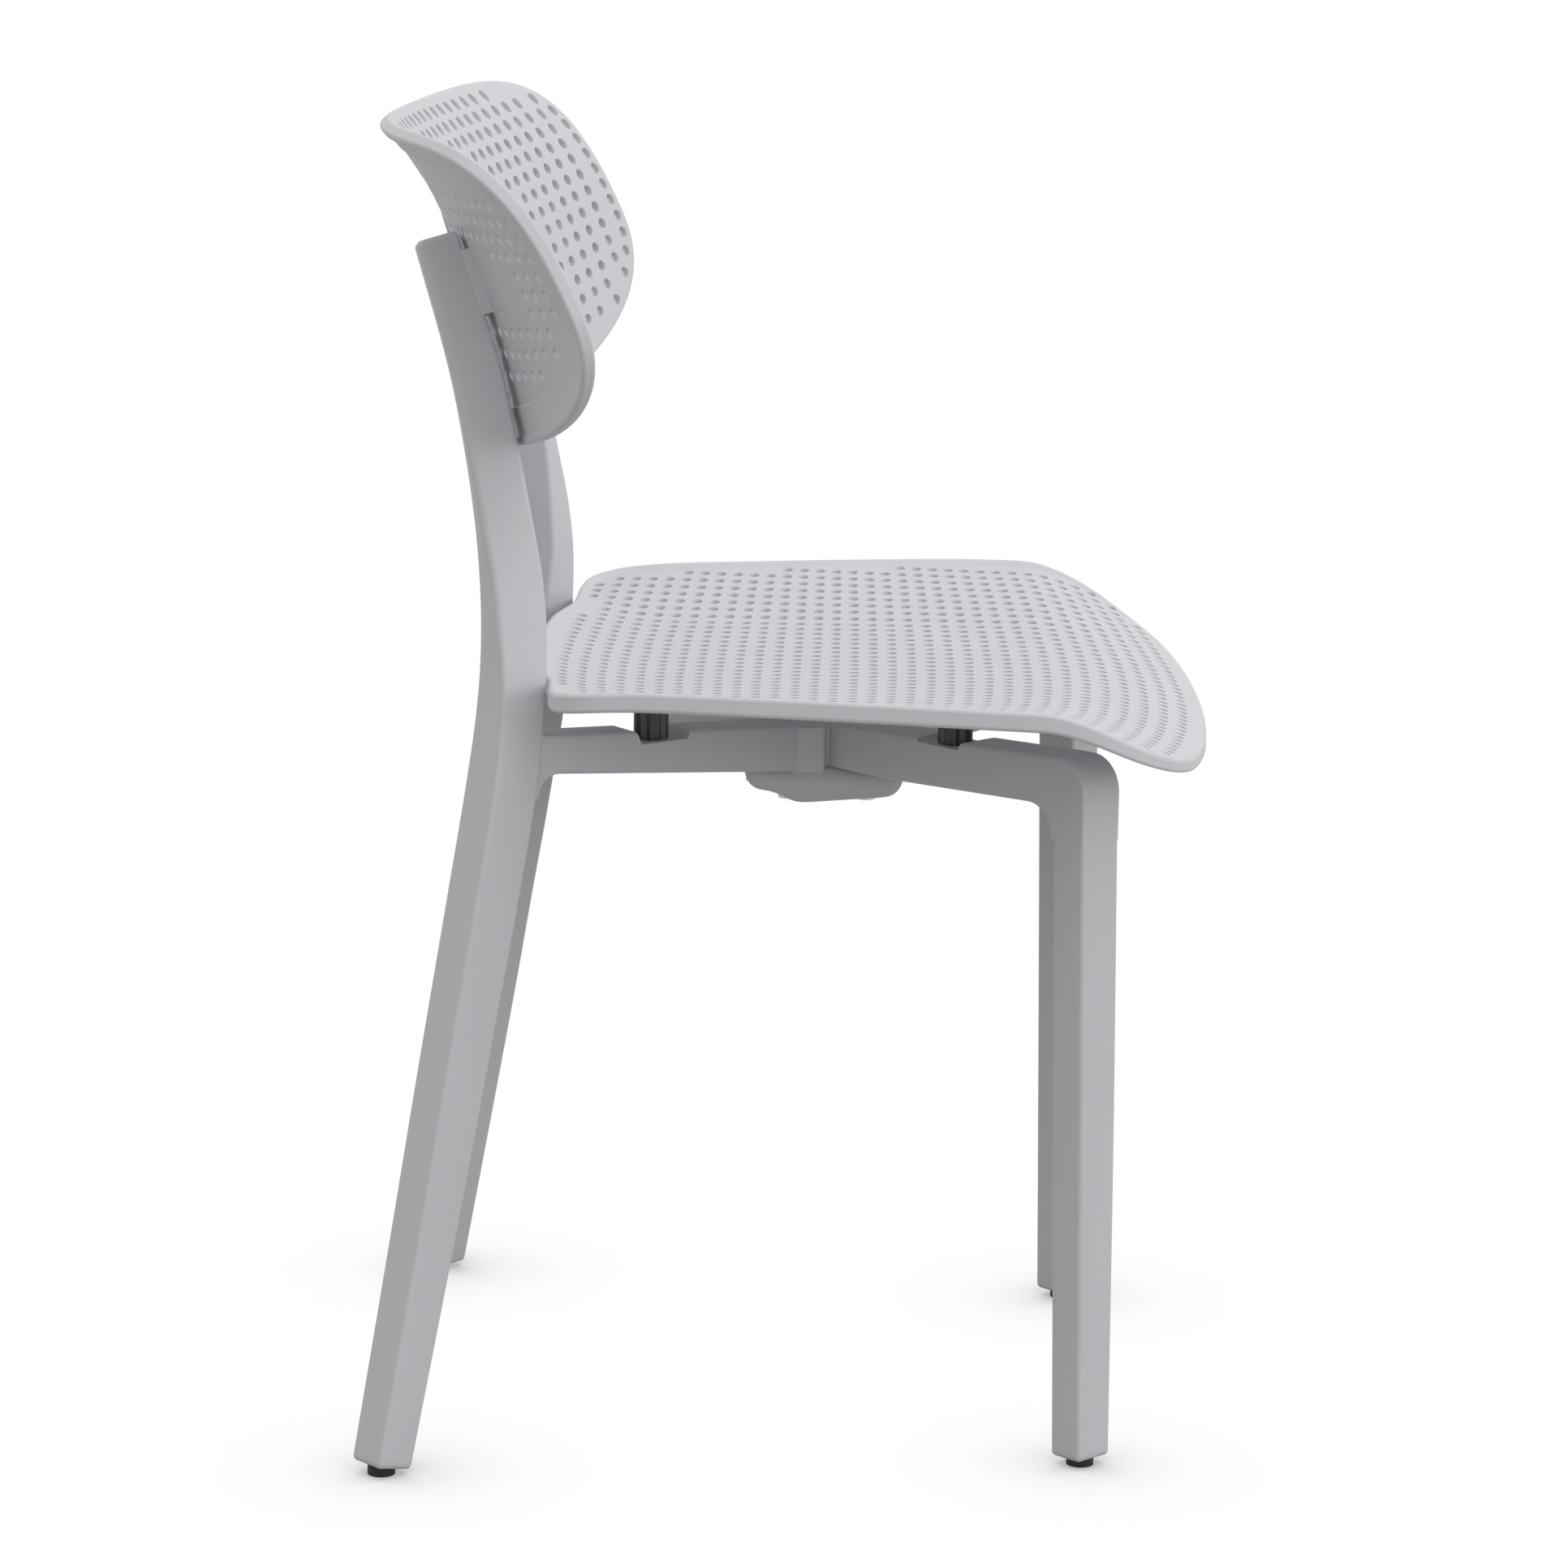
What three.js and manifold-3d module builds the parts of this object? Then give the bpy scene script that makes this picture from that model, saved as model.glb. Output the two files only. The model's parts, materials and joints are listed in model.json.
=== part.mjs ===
// A nesting chair of moulded plastic: two crossed leg frames, a dished seat and a curved back.
// All sizes are in millimetres, with X forward, Y to the sitter's left and Z up.
// Places are measured from the point of the floor that lies under the middle of the hub.
import * as THREE from "three";
import { mergeGeometries, mergeVertices } from "three/addons/utils/BufferGeometryUtils.js";
import Module from "manifold-3d";

const wasm = await Module();
wasm.setup();

// Clearances and tessellation
const fitGap = 0.3;
const weldDistance = 0.001;
const throughMargin = 2;
const slopeStep = 1;
const roundSegments = 14;
const cornerSteps = 2;
const outlineSamples = 360;
const sides = { left: 1, right: -1 };

// Rear leg, from the floor to the arm; ease is the radius of the corner that faces back and outward
const frameCornerRadius = 3;
const rearLegStations = [
  { height: 5, back: 244.4, side: 202, along: 24.9, across: 24.9, turn: 45, ease: 3 },
  { height: 143, back: 221.1, side: 180.7, along: 27.5, across: 27.5, turn: 42.4, ease: 3 },
  { height: 200, back: 211.7, side: 172.2, along: 28.6, across: 28.6, turn: 40.7, ease: 3 },
  { height: 256, back: 202.6, side: 163.7, along: 29.2, across: 29.2, turn: 40.4, ease: 3 },
  { height: 320, back: 192, side: 154, along: 30, across: 30, turn: 39.2, ease: 3 },
  { height: 396, back: 180.5, side: 142.5, along: 29.5, across: 30, turn: 38.5, ease: 3 },
];
// Upright above it; riseShare is the share of the way from the arm to the middle of the back
const uprightStations = [
  { riseShare: 0.03, back: 177.7, side: 138.2, along: 28.9, across: 28, turn: 38.2, ease: 3 },
  { riseShare: 0.14, back: 175.9, side: 134, along: 29.2, across: 27, turn: 34.6, ease: 3 },
  { riseShare: 0.25, back: 175.9, side: 129.8, along: 30.8, across: 25.5, turn: 26.8, ease: 4 },
  { riseShare: 0.36, back: 178.2, side: 125.6, along: 30.4, across: 24, turn: 23, ease: 4 },
  { riseShare: 0.47, back: 182.4, side: 121.6, along: 29.9, across: 22.5, turn: 14.7, ease: 5 },
  { riseShare: 0.62, back: 189.3, side: 115.5, along: 29.1, across: 22, turn: 10.7, ease: 5 },
  { riseShare: 0.8, back: 199.4, side: 108.5, along: 28.2, across: 21.1, turn: 10, ease: 5.5 },
  { riseShare: 1.08, back: 222.2, side: 98, along: 24, across: 21, turn: 12, ease: 5 },
];
const rearBarRings = 26;
const barEndRounding = 3;

// Front leg
const frontBar = [
  { height: 5, back: -154.1, side: 161, along: 22.6, across: 25.7, turn: 46, ease: 3 },
  { height: 200, back: -151.3, side: 156.5, along: 23.4, across: 28.2, turn: 46, ease: 3 },
  { height: 396, back: -147.8, side: 152, along: 24, across: 29.4, turn: 46, ease: 3 },
];
const frontBarRings = 5;
const frontShoulderRadius = 18;

// Arms that run from the hub out to the legs
const rearArm = { hubTop: 401, hubBottom: 372.5, legTop: 417, legBottom: 395 };
const frontArm = { hubTop: 402, hubBottom: 374.5, legTop: 413, legBottom: 385 };
const armHubWidth = 30;
const armNarrowing = 4;
const rearArmUnderRadius = 12;
const rearArmOverRadius = 14;
const frontArmUnderRadius = 17;
const armHubStart = 4;
const filletShares = [1, 0.6, 0.3, 0.1, 0];

// Hub: the rear frame's tray and the front frame's block that sits in it
const hub = {
  tailBack: 46,
  noseForward: 45,
  trayTop: 378,
  tailBottom: 364,
  deepBottom: 356.5,
  noseBottom: 361,
  deepBack: 16,
  noseRun: 37,
  halfWidth: 34,
  cheekHalfWidth: 31,
  cheekTop: 402,
};
const hubBevel = 4;
const pocket = { tailBack: 36, noseForward: 38.5, floor: 363.3, halfWidth: 24 };

// Seat: half of its outline from the middle of the nose to the middle of the tail
const seatOutline = [
  { forward: 221.5, side: 0 },
  { forward: 220, side: 60 },
  { forward: 215.5, side: 117 },
  { forward: 204, side: 179 },
  { forward: 187.5, side: 212 },
  { forward: 165, side: 236 },
  { forward: 135, side: 245.5 },
  { forward: 90, side: 245 },
  { forward: 20, side: 233.5 },
  { forward: -50, side: 221 },
  { forward: -105, side: 211 },
  { forward: -135, side: 203 },
  { forward: -149, side: 190 },
  { forward: -154, side: 168 },
  { forward: -156.5, side: 128 },
  { forward: -166.5, side: 78 },
  { forward: -170, side: 0 },
];
const seatMiddle = 25;
const seat = { middleHeight: 432, thickness: 5, rimThickness: 8, rimLift: 3 };
const rimStartShare = 0.99;
const seatDish = { foldSide: 125, foldRise: 4.5, wingSlopeShare: 0.172, wingFade: 615 };
const seatFall = { start: 118, length: 103, drop: 20.5 };
const seatRise = { start: 92, length: 78, lift: 11, wingDropShare: 1.07 };
const seatCells = { deep: 18, wide: 20 };
const seatHoles = { radius: 3.4, alongPitch: 22.6, acrossPitch: 24, firstForward: -7, margin: 13, sides: 6 };
const seatHoleSqueeze = { share: 0.13, side: 240 };

// Seat fixings
const seatFixings = [
  { name: "rear_left", back: 100, side: 78 },
  { name: "rear_right", back: 100, side: -78 },
  { name: "front_left", back: -75, side: 78 },
  { name: "front_right", back: -75, side: -78 },
];
const boss = { radius: 13, bottom: 421 };
const post = { radius: 10, ribDepth: 1.4, ribs: 12, bottom: 404.5 };
const postRecess = { length: 36, width: 60, flare: 6 };
const fixingBore = 3.4;
const seatScrew = { radius: 3, headRadius: 5.5, headHeight: 4, headBottom: 390, tip: 429 };
const seatInsert = { radius: 4.6, bottom: 421.4, top: 430 };

// Hub fixings
const hubFixings = [
  { name: "rear_left", back: 22, side: 13 },
  { name: "rear_right", back: 22, side: -13 },
  { name: "front_left", back: -24, side: 13 },
  { name: "front_right", back: -24, side: -13 },
];
const hubBolt = { radius: 3, headRadius: 5.5, headHeight: 3, headBottom: 357, tip: 375.5 };
const hubInsert = { radius: 4.6, bottom: 363.9, top: 376.5 };

// Back
const back = {
  halfWidth: 243,
  middleHeight: 670,
  riseUp: 80,
  riseDown: 101,
  topFullness: 6.6,
  bottomFullness: 2.15,
  cornerLift: 9.5,
  topBack: 261,
  lean: 0.145,
  flare: 42.5,
  flareLength: 52,
  wrap: 50,
  wrapGrowth: 9,
  wrapSide: 200,
  wrapHeight: 100,
  wrapPower: 1.65,
  thickness: 4.5,
  rimThickness: 8,
};
const backTopHeight = back.middleHeight + back.riseUp;
const backCells = { wide: 24, tall: 12 };
const backHoles = {
  radius: 3.4,
  length: 44,
  acrossPitch: 28.8,
  upPitch: 19.6,
  firstBelowTop: 26,
  sideBorder: 29,
  endBorder: 17,
  fixingGap: 6,
  sides: 4,
};
const rearBar = [
  ...rearLegStations,
  ...uprightStations.map(({ riseShare, ...rest }) => ({
    height: rearArm.legTop + riseShare * (back.middleHeight - rearArm.legTop),
    ...rest,
  })),
];

// Blocks between the uprights and the back, with their screws and the clips let into the back
const backBlock = { belowMiddle: 6, side: 98, tall: 38, wide: 24, start: 3, reach: 32 };
const backBlockHeight = back.middleHeight - backBlock.belowMiddle;
const backScrew = { radius: 1.8, headRadius: 3.4, headHeight: 2.2, headBack: 9.5, tip: 14.4, spread: 11 };
const backScrewBore = 2.2;
const backClip = { belowMiddle: 12, side: 117, tall: 20, wide: 12, depth: 1.6, proud: 10 };

// Floor glides
const glide = { radius: 8, top: 6.5, stemRadius: 3, stemTop: 24, sink: 0.6 };

// Finishes
const finishes = {
  frame: { color: 0xb4b6b9, roughness: 0.62, metalness: 0 },
  shell: { color: 0xc9cacd, roughness: 0.6, metalness: 0 },
  post: { color: 0x3a3b3e, roughness: 0.55, metalness: 0 },
  glide: { color: 0x1d1d1f, roughness: 0.75, metalness: 0 },
  steel: { color: 0x9a9ca0, roughness: 0.35, metalness: 1 },
  brass: { color: 0xb79a56, roughness: 0.4, metalness: 1 },
};

// Solids and geometry
function solidOf(geometry) {
  const bare = geometry.clone();
  bare.deleteAttribute("normal");
  bare.deleteAttribute("uv");
  const merged = mergeVertices(bare, weldDistance);
  const triangles = Uint32Array.from(merged.index.array);
  const points = Float32Array.from(merged.attributes.position.array);
  const made = new wasm.Manifold(new wasm.Mesh({ numProp: 3, vertProperties: points, triVerts: triangles }));
  if (made.volume() > 0) return made;
  for (let i = 0; i < triangles.length; i += 3) {
    [triangles[i + 1], triangles[i + 2]] = [triangles[i + 2], triangles[i + 1]];
  }
  return new wasm.Manifold(new wasm.Mesh({ numProp: 3, vertProperties: points, triVerts: triangles }));
}

function geometryOf(made) {
  const mesh = made.getMesh();
  return new THREE.BufferGeometry()
    .setAttribute("position", new THREE.BufferAttribute(mesh.vertProperties, mesh.numProp))
    .setIndex(new THREE.BufferAttribute(mesh.triVerts, 1));
}

function joined(solids) {
  return solids.reduce((sum, next) => sum.add(next));
}

function less(body, cutters) {
  return cutters.reduce((rest, cutter) => rest.subtract(cutter), body);
}

// A closed skin through rings of points that all have the same count.
function loft(rings) {
  const count = rings[0].length;
  const last = (rings.length - 1) * count;
  const index = [];
  for (let start = 0; start < last; start += count) {
    for (let k = 0; k < count; k++) {
      const a = start + k;
      const b = start + ((k + 1) % count);
      index.push(a, b, b + count, a, b + count, a + count);
    }
  }
  for (let k = 1; k < count - 1; k++) {
    index.push(0, k + 1, k, last, last + k, last + k + 1);
  }
  const points = new Float32Array(rings.flat().flatMap((p) => p.toArray()));
  const geometry = new THREE.BufferGeometry();
  geometry.setAttribute("position", new THREE.BufferAttribute(points, 3));
  return solidOf(geometry.setIndex(index));
}

// Corners of a rounded rectangle as pairs across its two directions.
function roundedRectangle(halfLength, halfWidth, plainRadius, firstRadius = plainRadius) {
  const pairs = [];
  for (let corner = 0; corner < 4; corner++) {
    const radius = corner === 0 ? firstRadius : plainRadius;
    const signLength = corner === 0 || corner === 3 ? 1 : -1;
    const signWidth = corner < 2 ? 1 : -1;
    for (let step = 0; step <= cornerSteps; step++) {
      const angle = ((corner + step / cornerSteps) * Math.PI) / 2;
      pairs.push([
        signLength * (halfLength - radius) + radius * Math.cos(angle),
        signWidth * (halfWidth - radius) + radius * Math.sin(angle),
      ]);
    }
  }
  return pairs;
}

function ringAt(center, first, second, pairs) {
  return pairs.map(([p, q]) => center.clone().addScaledVector(first, p).addScaledVector(second, q));
}

// A box between two corners.
function boxBetween(low, high) {
  const size = high.clone().sub(low);
  const geometry = new THREE.BoxGeometry(size.x, size.y, size.z);
  const middle = low.clone().add(high).multiplyScalar(0.5);
  return solidOf(geometry.translate(middle.x, middle.y, middle.z));
}

// A plain upright cylinder from one height to another.
function cylinder(radius, bottom, top, x, y) {
  const geometry = new THREE.CylinderGeometry(radius, radius, top - bottom, roundSegments);
  geometry.rotateX(Math.PI / 2);
  return solidOf(geometry.translate(x, y, (bottom + top) / 2));
}

// A profile in the XZ plane, carried across the chair.
function acrossExtrusion(points, halfWidth, bevel) {
  const geometry = new THREE.ExtrudeGeometry(new THREE.Shape(points), {
    depth: 2 * (halfWidth - bevel),
    bevelEnabled: true,
    bevelThickness: bevel,
    bevelSize: bevel,
    bevelOffset: -bevel,
    bevelSegments: cornerSteps,
  });
  geometry.rotateX(Math.PI / 2);
  return solidOf(geometry.translate(0, halfWidth - bevel, 0));
}

// Bars of the two frames
function barStation(stations, height) {
  const keys = Object.keys(stations[0]);
  const heights = stations.map((station) => station.height);
  const values = stations.flatMap((station) => keys.map((key) => station[key]));
  const curve = new THREE.CubicInterpolant(heights, values, keys.length);
  const found = curve.evaluate(height);
  return Object.fromEntries(keys.map((key, i) => [key, found[i]]));
}

function barPoint(station, side) {
  return new THREE.Vector3(-station.back, side * station.side, station.height);
}

function barTangent(stations, height, side) {
  const low = stations[0].height;
  const high = stations[stations.length - 1].height;
  const below = barPoint(barStation(stations, Math.max(low, height - slopeStep)), side);
  const above = barPoint(barStation(stations, Math.min(high, height + slopeStep)), side);
  return above.sub(below).normalize();
}

function barRing(stations, height, side, inset, lift, outward) {
  const station = barStation(stations, height);
  const tangent = barTangent(stations, height, side);
  const turn = THREE.MathUtils.degToRad(station.turn);
  const along = new THREE.Vector3(outward * Math.cos(turn), side * Math.sin(turn), 0);
  const across = new THREE.Vector3(-outward * Math.sin(turn), side * Math.cos(turn), 0);
  for (const axis of [along, across]) {
    axis.addScaledVector(tangent, -axis.dot(tangent)).normalize();
  }
  const pairs = roundedRectangle(
    station.along / 2 - inset,
    station.across / 2 - inset,
    Math.max(0, frameCornerRadius - inset),
    Math.max(0, station.ease - inset),
  );
  const center = barPoint(station, side).addScaledVector(tangent, lift);
  return ringAt(center, along, across, pairs);
}

// One bar with both of its ends eased; outward is -1 for the rear bars and 1 for the front ones.
function bar(stations, ringCount, side, outward, clearance = 0) {
  const low = stations[0].height;
  const high = stations[stations.length - 1].height;
  const ring = (height, inset, lift) =>
    barRing(stations, height, side, inset - clearance, lift, outward);
  const rings = [ring(low, barEndRounding, 0), ring(low, 0, barEndRounding)];
  for (let i = 1; i < ringCount; i++) {
    rings.push(ring(low + ((high - low) * i) / ringCount, 0, 0));
  }
  rings.push(ring(high, 0, 0), ring(high, barEndRounding, barEndRounding));
  return loft(rings);
}

// Height of a quarter-round fillet at a share of its radius away from the wall.
function filletReach(radius, share) {
  return radius - Math.sqrt(radius ** 2 - (radius - radius * share) ** 2);
}

// An arm as rings across its run; each ring has a distance from the hub, a top and a bottom.
function arm(stations, heights, side, rings) {
  const foot = barPoint(barStation(stations, (heights.legTop + heights.legBottom) / 2), side);
  foot.z = 0;
  const run = foot.clone().normalize();
  const across = new THREE.Vector3(-run.y, run.x, 0);
  const up = new THREE.Vector3(0, 0, 1);
  return loft(
    rings.map(({ distance, top, bottom, width }) => {
      const center = run.clone().multiplyScalar(distance);
      center.z = (top + bottom) / 2;
      return ringAt(center, across, up, roundedRectangle(width / 2, (top - bottom) / 2, frameCornerRadius));
    }),
  );
}

function armLayout(stations, heights) {
  const station = barStation(stations, (heights.legTop + heights.legBottom) / 2);
  const reach = Math.hypot(station.back, station.side);
  const wall = reach - station.along / 2;
  const line = (hubValue, legValue, distance) => hubValue + ((legValue - hubValue) * distance) / wall;
  return { station, reach, wall, line };
}

function rearArmSolid(side) {
  const { station, reach, wall, line } = armLayout(rearBar, rearArm);
  const widthAt = (distance) => line(armHubWidth, station.across - armNarrowing, distance);
  const plainRing = (distance) => ({
    distance,
    top: line(rearArm.hubTop, rearArm.legTop, distance),
    bottom: line(rearArm.hubBottom, rearArm.legBottom, distance),
    width: widthAt(distance),
  });
  const flared = filletShares.map((share) => {
    const distance = wall - rearArmOverRadius * share;
    const ring = plainRing(distance);
    ring.top += filletReach(rearArmOverRadius, share);
    ring.bottom -= filletReach(rearArmUnderRadius, share);
    return ring;
  });
  const buried = { ...flared[flared.length - 1], distance: reach };
  return arm(rearBar, rearArm, side, [plainRing(armHubStart), ...flared, buried]);
}

function frontArmSolid(side) {
  const { station, reach, wall, line } = armLayout(frontBar, frontArm);
  const end = reach + station.along / 2;
  const widthAt = (distance) => line(armHubWidth, station.across - armNarrowing, Math.min(distance, wall));
  const plainRing = (distance) => ({
    distance,
    top: line(frontArm.hubTop, frontArm.legTop, Math.min(distance, wall)),
    bottom: line(frontArm.hubBottom, frontArm.legBottom, Math.min(distance, wall)),
    width: widthAt(distance),
  });
  const flared = filletShares.map((share) => {
    const ring = plainRing(wall - frontArmUnderRadius * share);
    ring.bottom -= filletReach(frontArmUnderRadius, share);
    return ring;
  });
  const shoulder = filletShares.map((share) => {
    const ring = plainRing(end - frontShoulderRadius * share);
    ring.top -= filletReach(frontShoulderRadius, share);
    ring.bottom = flared[flared.length - 1].bottom;
    return ring;
  });
  const rings = [plainRing(armHubStart), ...flared, ...shoulder];
  rings.sort((a, b) => a.distance - b.distance);
  return arm(frontBar, frontArm, side, rings);
}

// Recess across an arm top that a seat post stands in
function postRecessCutter(fixing) {
  const run = new THREE.Vector3(-fixing.back, fixing.side, 0).normalize();
  const angle = Math.atan2(run.y, run.x);
  const height = frontArm.legTop;
  const points = [
    new THREE.Vector2(-postRecess.length / 2, 0),
    new THREE.Vector2(postRecess.length / 2, 0),
    new THREE.Vector2(postRecess.length / 2 + postRecess.flare, height),
    new THREE.Vector2(-postRecess.length / 2 - postRecess.flare, height),
  ];
  const geometry = new THREE.ExtrudeGeometry(new THREE.Shape(points), {
    depth: postRecess.width,
    bevelEnabled: false,
  });
  geometry.rotateX(Math.PI / 2);
  geometry.translate(0, postRecess.width / 2, 0);
  geometry.rotateZ(angle);
  return solidOf(geometry.translate(-fixing.back, fixing.side, post.bottom));
}

function seatFixingCutters(fixings) {
  return fixings.flatMap((fixing) => {
    const x = -fixing.back;
    const counterboreTop = seatScrew.headBottom + seatScrew.headHeight + fitGap;
    return [
      postRecessCutter(fixing),
      cylinder(fixingBore, 0, rearArm.legTop, x, fixing.side),
      cylinder(seatScrew.headRadius + fitGap, 0, counterboreTop, x, fixing.side),
    ];
  });
}

// Socket for a floor glide in the end of a bar
function glideCutters(stations, side) {
  const foot = barPoint(stations[0], side);
  return [
    cylinder(glide.radius + fitGap, -glide.top, glide.top + fitGap, foot.x, foot.y),
    cylinder(glide.stemRadius + fitGap, 0, glide.stemTop + fitGap, foot.x, foot.y),
  ];
}

function hubPocket(clearance) {
  return boxBetween(
    new THREE.Vector3(-pocket.tailBack + clearance, -pocket.halfWidth + clearance, pocket.floor + clearance),
    new THREE.Vector3(pocket.noseForward - clearance, pocket.halfWidth - clearance, hub.cheekTop),
  );
}

// The moulding with the rear legs, the uprights, the rear arms and the tray of the hub
function rearFrameSolid() {
  const bars = Object.values(sides).map((side) => bar(rearBar, rearBarRings, side, -1));
  const arms = Object.values(sides).map((side) => rearArmSolid(side));
  const frontHalf = boxBetween(
    new THREE.Vector3(0, -hub.noseForward, hub.trayTop - rearArm.hubTop),
    new THREE.Vector3(hub.noseForward, hub.noseForward, rearArm.legTop),
  );
  const tray = acrossExtrusion(
    [
      new THREE.Vector2(-hub.tailBack, hub.trayTop),
      new THREE.Vector2(-hub.tailBack, hub.tailBottom),
      new THREE.Vector2(-hub.deepBack, hub.deepBottom),
      new THREE.Vector2(hub.noseRun, hub.noseBottom),
      new THREE.Vector2(hub.noseForward, hub.tailBottom),
      new THREE.Vector2(hub.noseForward, hub.trayTop),
    ],
    hub.halfWidth,
    hubBevel,
  );
  const cheeks = acrossExtrusion(
    [
      new THREE.Vector2(-hub.tailBack, hub.cheekTop),
      new THREE.Vector2(-hub.tailBack, hub.tailBottom + hubBevel),
      new THREE.Vector2(0, hub.tailBottom + hubBevel),
      new THREE.Vector2(0, hub.cheekTop),
    ],
    hub.cheekHalfWidth,
    hubBevel / 2,
  );
  const body = joined([...bars, less(joined(arms), [frontHalf]), tray, cheeks]);
  const holes = hubFixings.flatMap((fixing) => [
    cylinder(fixingBore, 0, pocket.floor + throughMargin, -fixing.back, fixing.side),
    cylinder(
      hubBolt.headRadius + fitGap,
      0,
      hubBolt.headBottom + hubBolt.headHeight + fitGap,
      -fixing.back,
      fixing.side,
    ),
  ]);
  const pocketCutter = hubPocket(0).add(
    boxBetween(
      new THREE.Vector3(-pocket.tailBack, -pocket.halfWidth, hub.cheekTop - throughMargin),
      new THREE.Vector3(pocket.noseForward, pocket.halfWidth, rearArm.legTop),
    ),
  );
  return less(body, [
    pocketCutter,
    ...holes,
    ...seatFixingCutters(seatFixings.filter((fixing) => fixing.back > 0)),
    ...Object.values(sides).flatMap((side) => glideCutters(rearBar, side)),
    ...Object.values(sides).flatMap((side) => backScrewCutters(side)),
  ]);
}

// The moulding with the front legs, the front arms and the block that fills the tray
function frontFrameSolid() {
  const bars = Object.values(sides).map((side) => bar(frontBar, frontBarRings, side, 1));
  const arms = Object.values(sides).map((side) => frontArmSolid(side));
  const rearHalf = boxBetween(
    new THREE.Vector3(-hub.noseForward, -hub.noseForward, 0),
    new THREE.Vector3(fitGap, hub.noseForward, frontArm.legTop),
  );
  const overTray = boxBetween(
    new THREE.Vector3(-hub.noseForward, -hub.noseForward, 0),
    new THREE.Vector3(hub.noseForward + fitGap, hub.noseForward, hub.trayTop + fitGap),
  );
  const outerParts = less(joined(arms), [rearHalf, overTray]);
  const body = joined([...bars, outerParts, hubPocket(fitGap)]);
  const sockets = hubFixings.map((fixing) =>
    cylinder(hubInsert.radius + fitGap, 0, hubInsert.top + fitGap, -fixing.back, fixing.side),
  );
  return less(body, [
    ...sockets,
    ...seatFixingCutters(seatFixings.filter((fixing) => fixing.back < 0)),
    ...Object.values(sides).flatMap((side) => glideCutters(frontBar, side)),
  ]);
}

// Curved sheets
// A sheet over a square grid whose border is drawn to a rounded outline. The surface function takes
// two places from -1 to 1 and the side of the sheet, and gives a point.
function sheet(cellsFirst, cellsSecond, surface) {
  const points = [];
  const index = [];
  const rowLength = cellsSecond + 1;
  const layer = (cellsFirst + 1) * rowLength;
  for (const face of [0, 1]) {
    for (let i = 0; i <= cellsFirst; i++) {
      for (let j = 0; j <= cellsSecond; j++) {
        const place = roundedPlace((2 * i) / cellsFirst - 1, (2 * j) / cellsSecond - 1);
        points.push(...surface(place, face).toArray());
      }
    }
  }
  const at = (face, i, j) => face * layer + i * rowLength + j;
  for (let i = 0; i < cellsFirst; i++) {
    for (let j = 0; j < cellsSecond; j++) {
      const upper = [at(0, i, j), at(0, i + 1, j), at(0, i + 1, j + 1), at(0, i, j + 1)];
      const lower = [at(1, i, j), at(1, i, j + 1), at(1, i + 1, j + 1), at(1, i + 1, j)];
      // The diagonal of each cell runs toward the middle of the sheet.
      const turned = (i < cellsFirst / 2) !== (j < cellsSecond / 2);
      for (const quad of [upper, lower]) {
        const [a, b, c, d] = turned ? [quad[1], quad[2], quad[3], quad[0]] : quad;
        index.push(a, b, c, a, c, d);
      }
    }
  }
  const wall = (i0, j0, i1, j1) => {
    index.push(at(0, i0, j0), at(1, i0, j0), at(1, i1, j1));
    index.push(at(0, i0, j0), at(1, i1, j1), at(0, i1, j1));
  };
  for (let i = 0; i < cellsFirst; i++) {
    wall(i, 0, i + 1, 0);
    wall(i + 1, cellsSecond, i, cellsSecond);
  }
  for (let j = 0; j < cellsSecond; j++) {
    wall(cellsFirst, j, cellsFirst, j + 1);
    wall(0, j + 1, 0, j);
  }
  const geometry = new THREE.BufferGeometry();
  geometry.setAttribute("position", new THREE.BufferAttribute(new Float32Array(points), 3));
  return solidOf(geometry.setIndex(index));
}

// The square grid drawn into a disc: a radius from 0 to 1 and an angle.
function roundedPlace(first, second) {
  const x = first * Math.sqrt(1 - second ** 2 / 2);
  const y = second * Math.sqrt(1 - first ** 2 / 2);
  return { radius: Math.min(1, Math.hypot(x, y)), angle: Math.atan2(y, x) };
}

// Radius of a superellipse with unit half axes.
function superellipse(angle, fullness) {
  const sum = Math.abs(Math.cos(angle)) ** fullness + Math.abs(Math.sin(angle)) ** fullness;
  return sum ** (-1 / fullness);
}

// Share of the full rim thickness at a radius of the sheet.
function rimShare(radius) {
  return radius > rimStartShare ? 1 : 0;
}

// The whole outline of the seat as a closed curve that starts at the nose.
function seatOutlineCurve() {
  const half = seatOutline.map(({ forward, side }) => new THREE.Vector3(forward, side, 0));
  const mirrored = half.slice(1, -1).map((point) => point.clone().setY(-point.y));
  return new THREE.CatmullRomCurve3([...half, ...mirrored.reverse()], true, "centripetal");
}

// The closed outline of the seat as its distance from the middle at any angle.
function seatReaches() {
  const rays = seatOutlineCurve()
    .getPoints(outlineSamples)
    .slice(0, -1)
    .map((point) => ({
      angle: Math.atan2(point.y, point.x - seatMiddle),
      reach: Math.hypot(point.y, point.x - seatMiddle),
    }));
  return rays.sort((a, b) => a.angle - b.angle);
}

const seatRays = seatReaches();

function seatReach(angle) {
  const found = seatRays.findIndex((ray) => ray.angle >= angle);
  const high = seatRays[Math.max(0, found)];
  const low = seatRays.at(Math.max(0, found) - 1);
  const span = THREE.MathUtils.euclideanModulo(high.angle - low.angle, 2 * Math.PI);
  const step = THREE.MathUtils.euclideanModulo(angle - low.angle, 2 * Math.PI);
  return THREE.MathUtils.lerp(low.reach, high.reach, step / span);
}

// How much of the seat's dish is left at a place on the way to the nose.
function seatFlattening(x) {
  return 1 - THREE.MathUtils.smoothstep((x - seatFall.start) / seatFall.length, 0, 1);
}

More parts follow.
